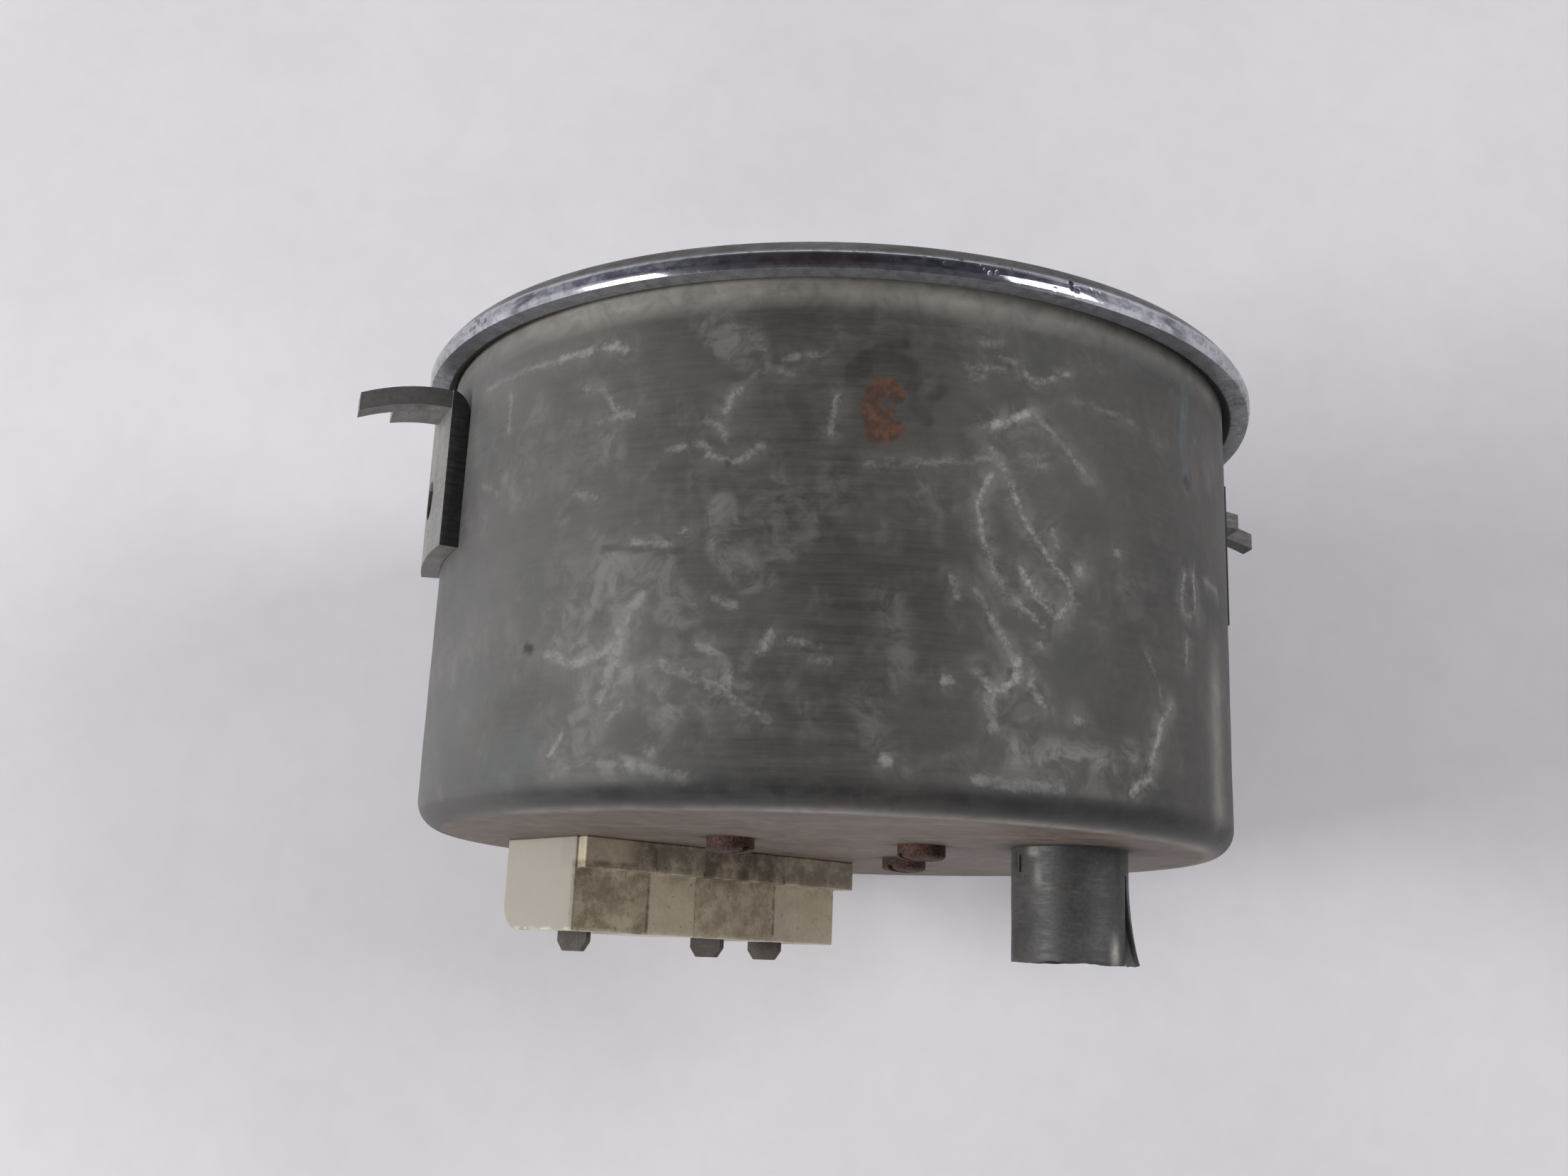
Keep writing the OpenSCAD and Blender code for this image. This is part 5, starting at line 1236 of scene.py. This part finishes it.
heads = joined([slotted_head(at) for at in SCREWS_AT])
piece("back_screw_heads", *heads, SCREW_RUST, stands_for=("back_screws",), slot="rusty_steel", crease=40, weld=True)


# The lamp tube

def tube_sheet():
    """The lamp tube's sheet, before it gets its thickness: a profile of an inner flange, a bend and a straight wall,
    turned about the tube's own axis. Two slits free a tongue that leans outwards by 1.5 mm times the square of its
    height's share, and a short window lies at the root of the other side."""
    openings = (*TUBE_SLITS, TUBE_WINDOW)
    edges = np.concatenate([[a - OPENING_HALF, a + OPENING_HALF] for a in openings])
    plain = np.arange(-180, 180, 3.0)
    clear = np.all(np.abs(plain[:, None] - np.array(openings)[None]) > OPENING_HALF + 0.6, axis=1)
    angles = np.sort(np.concatenate([plain[clear], edges]))
    mid, root, end = TUBE_R - TUBE_WALL / 2, BACK_Y - 1, BACK_Y + TUBE_LENGTH
    bend = np.radians([0, 30, 60, 90])
    profile = np.concatenate([
        [(TUBE_R + 1.6, root - 0.3), (TUBE_R + 0.6, root - 0.3)],
        np.stack([mid + 0.5 - 0.5 * np.sin(bend), root + 0.2 - 0.5 * np.cos(bend)], 1),
        [(mid, BACK_Y + 0.3)],
        stepped([(mid, BACK_Y + 0.8), (mid, BACK_Y + 2.8), (mid, end)], 0.65),
    ])
    points = swung(profile, angles)
    y = points[..., 1]
    share = rise(y, BACK_Y + 3.2, 9.8)
    spread = np.broadcast_to(angles, y.shape)
    first, last = TUBE_SLITS
    tongue = (spread > last) | (spread < first)
    from_slit = np.minimum(np.abs((spread - last) % 360), np.abs((first - spread) % 360))
    leaning = 1.5 * share**2 * (1.0 - 0.25 * rise(from_slit, 0, 12))
    lean = np.where(tongue, leaning, 0.12 * ripple(spread / 9, y * 0.5, 52) * share)
    turn = np.radians(spread)
    points[..., 0] += lean * np.cos(turn)
    points[..., 2] += lean * np.sin(turn)
    ragged = 0.14 * (1 + ripple(points[..., 0] * 2, points[..., 2] * 2, 51))
    points[..., 1] = np.where(y > end - 0.1, y - ragged, y)

    quads = woven(len(profile), len(angles), False, True)
    row, column = quads[:, 0] // len(angles), quads[:, 0] % len(angles)
    station = profile[row, 1] - BACK_Y
    *slits, window = [int(np.argmin(np.abs(angles - (a - OPENING_HALF)))) for a in openings]
    gone = np.isin(column, slits) & (station > 2.7)
    gone |= (column == window) & (station > 0.7) & (station < 2.5)
    return points.reshape(-1, 3) + (TUBE_AT[0], 0, TUBE_AT[1]), quads[~gone]


def tube_wear(points):
    """Pale patches in red, among them a painted highlight, and dark ones in green, among them painted shade for the
    window opening, each a bell-shaped patch at an angle round the tube's axis and a distance from the back."""
    x, y, z = points.T
    a = round_axis(x - TUBE_AT[0], z - TUBE_AT[1])[0]
    out = y - BACK_Y
    # A painted highlight, the glint at 127 degrees near the tube's end, then pale smeared patches near its root
    pale = 0.85 * bell((a, 127, 5), (out, 11.6, 1.6)) + 0.55 * bell((a, 42, 7), (out, 0.6, 0.5))
    pale = pale + 0.3 * bell((a, 47, 4), (out, 3.2, 1.2))
    # A dark line at 133 degrees, and painted shade at 15 degrees standing in for the dark of the window opening
    dark = 0.8 * bell((a, 133, 3), (out, 3.4, 2.4)) + 0.8 * bell((a, 15, 3), (out, 1.6, 0.9))
    return channels(np.clip(pale, 0, 1), np.clip(dark, 0, 1), 0.0)


def tube_piece():
    """The lamp tube: its sheet with its painted patches, highlight and shade, given a thickness, and with its cut edges
    eased.
    """
    points, faces = tube_sheet()
    mesh = bpy.data.meshes.new("lamp_socket_tube")
    mesh.from_pydata((points * MM).tolist(), [], faces.tolist())
    brush_on(mesh, "smears_and_shading", tube_wear(points))
    made = dressed("lamp_socket_tube", mesh, TUBE_STEEL, "case", ("lamp_tube",), "tube_steel", 40)
    solid = made.modifiers.new("sheet thickness", "SOLIDIFY")
    solid.thickness = TUBE_WALL * MM
    solid.offset = 0
    solid.use_even_offset = True
    bevelled(made, 0.08, 2, 50)


tube_piece()


# Pieces that keep their node's shape

def cut_edges(made, angle, dull):
    """Marks a bracket's faces for painted shade: each face whose normal lies within 45 degrees of the direction round
    the can at the bracket's angle, so that |n . (-sin a, 0, cos a)| is over 0.7, gets the value 1 at its corners, or
    0.6 on the ear, which lies further out than 52.8 mm from the axis. The ear's other faces get the value of dull."""
    mesh = made.data
    count = len(mesh.polygons)
    normals, centres, corners = np.zeros(3 * count), np.zeros(3 * count), np.zeros(count, int)
    mesh.polygons.foreach_get("normal", normals)
    mesh.polygons.foreach_get("center", centres)
    mesh.polygons.foreach_get("loop_total", corners)
    a = math.radians(angle)
    across = np.abs(normals.reshape(-1, 3) @ np.array([-math.sin(a), 0, math.cos(a)])) > 0.7
    ear = np.hypot(centres[0::3], centres[2::3]) > 52.8 * MM
    share = np.repeat(np.where(across, 1.0 - 0.4 * ear, dull * ear), corners)
    brush_on(mesh, "cut", channels(share, share, share), "CORNER")


# Both brackets get painted shade on their faces that face round the can, and the right one on its ear's other faces too
for node, angle, dull in zip(("bracket_left", "bracket_right"), RIVET_ANGLES, (0.0, 0.7)):
    cut_edges(eased_edges(node, node + "_sheet", 0.2, BRACKET_STEEL, "bracket_steel", steps=3), angle, dull)
eased_edges("connector_housing", "connector_body", 0.22, IVORY, "connector_plastic", steps=3)
for node in ("blade_supply", "blade_ground", "blade_signal"):
    eased_edges(node, node + "_tab", 0.12, BLADE_METAL, "blade_metal")
eased_edges("dial_screws", "dial_screw_pair", 0.1, SMALL_SCREW, "screw_steel")
eased_edges("bracket_rivets", "rivet_pair", 0.12, RIVET_RUST, "rusty_steel")

PLAIN_NODES = (
    (RUBBER, "glass_gasket"),
    (DIAL_BLACK, "dial_plate"),
    (BRASS, "pointer_stops balance_weight hairspring_collet hairspring_peg dial_pillars frame_posts"),
    (BRASS, "front_bearing rear_bearing board_spacers back_pillars"),
    (BRIGHT_STEEL, "spindle shield_cup"),
    (FERRITE, "rotor_magnet"),
    (BRONZE, "hairspring"),
    (ALUMINIUM, "front_plate rear_plate"),
    (BOBBIN_PLASTIC, "bobbin_front bobbin_rear"),
    (COPPER, "inner_coil outer_coil"),
    (TINNED, "coil_pins"),
    (SMALL_SCREW, "carrier_screws"),
    (LAMINATE, "circuit_board"),
    (SLEEVE, "electrolytic_capacitors"),
    (FILM_RED, "film_capacitor"),
    (RESISTOR_TAN, "resistors"),
    (CHIP_BLACK, "transistors integrated_circuit"),
    (TRIMMER_BLUE, "trimmer_body"),
    (TRIMMER_WHITE, "trimmer_rotor"),
)
for made, nodes in PLAIN_NODES:
    for node in nodes.split():
        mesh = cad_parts[node].data
        mesh.materials.clear()
        mesh.materials.append(made)


# Floor, light and camera, in metres

FLOOR_HALF = 4
LAMPS_AIM = (0.0, 0.02, 0.0)
KEY_AT, KEY_SIZE, KEY_POWER = (0.74, 0.14, 0.48), 0.30, 6.0
FILL_AT, FILL_SIZE, FILL_POWER = (-0.62, -0.12, 0.53), 0.34, 2.7
CAMERA_AT = (0.0081, 0.06906, 0.19784)
CAMERA_TURN = (-0.020642, 0.007527, 0.119952, 0.992537)
CAMERA_LENS = 35.69
CAMERA_SENSOR = 36.0


def pale_floor():
    """A wide pale board under the instrument, with faint, large clouds of tone."""
    made, tree, shader = blank_finish("pale painted board", Roughness=0.75)
    coat = use(tree, MOTTLING, base=tone(219, 216, 220), patch=tone(213, 211, 214), size=60.0, speckle=0.02)
    coloured(shader, coat["Colour"], None, cloudy(tree, 6.0, 4.0), 0.1, 0.3)
    z = cad_box[0].z
    corners = [(FLOOR_HALF * x, FLOOR_HALF * y, z) for x, y in ((-1, -1), (1, -1), (1, 1), (-1, 1))]
    mesh = bpy.data.meshes.new("floor")
    mesh.from_pydata(corners, [], [(0, 1, 2, 3)])
    mesh.materials.append(made)
    floor = bpy.data.objects.new("floor", mesh)
    bpy.context.scene.collection.objects.link(floor)


def studio_world():
    """Light from all round, pale at the horizon and dimmer overhead, so that upright surfaces show a soft fall of
    tone."""
    world = bpy.data.worlds.new("studio")
    bpy.context.scene.world = world
    world.use_nodes = True
    tree = world.node_tree
    tree.nodes.clear()
    direction = flow(tree, "ShaderNodeTexCoord", output="Generated")
    height = flow(tree, "ShaderNodeSeparateXYZ", {0: direction}, 2)
    light = laid(between(height, 0.25, 0.85), tone(242, 241, 244), tone(96, 97, 102))
    sky = put(tree, "ShaderNodeBackground", {"Color": light, "Strength": 1.0})
    tree.links.new(sky.outputs[0], put(tree, "ShaderNodeOutputWorld").inputs[0])


def soft_lamp(name, at, size, power):
    """A square lamp turned from its place towards the instrument."""
    data = bpy.data.lights.new(name, "AREA")
    data.size = size
    data.energy = power
    lamp = bpy.data.objects.new(name, data)
    bpy.context.scene.collection.objects.link(lamp)
    lamp.location = at
    lamp.rotation_mode = "QUATERNION"
    lamp.rotation_quaternion = Vector(np.array(LAMPS_AIM) - np.array(at)).to_track_quat("-Z", "Y")


def photograph_camera():
    """The camera at the photograph's place, solved from the outlines of the can and the bezel."""
    data = bpy.data.cameras.new("camera")
    data.sensor_width = CAMERA_SENSOR
    data.lens = CAMERA_LENS
    data.clip_start = 0.01
    data.clip_end = 20
    camera = bpy.data.objects.new("camera", data)
    bpy.context.scene.collection.objects.link(camera)
    camera.location = CAMERA_AT
    camera.rotation_mode = "QUATERNION"
    camera.rotation_quaternion = Quaternion(CAMERA_TURN)
    bpy.context.scene.camera = camera


pale_floor()
studio_world()
soft_lamp("key", KEY_AT, KEY_SIZE, KEY_POWER)
soft_lamp("fill", FILL_AT, FILL_SIZE, FILL_POWER)
photograph_camera()

bpy.context.scene.view_settings.view_transform = "Standard"
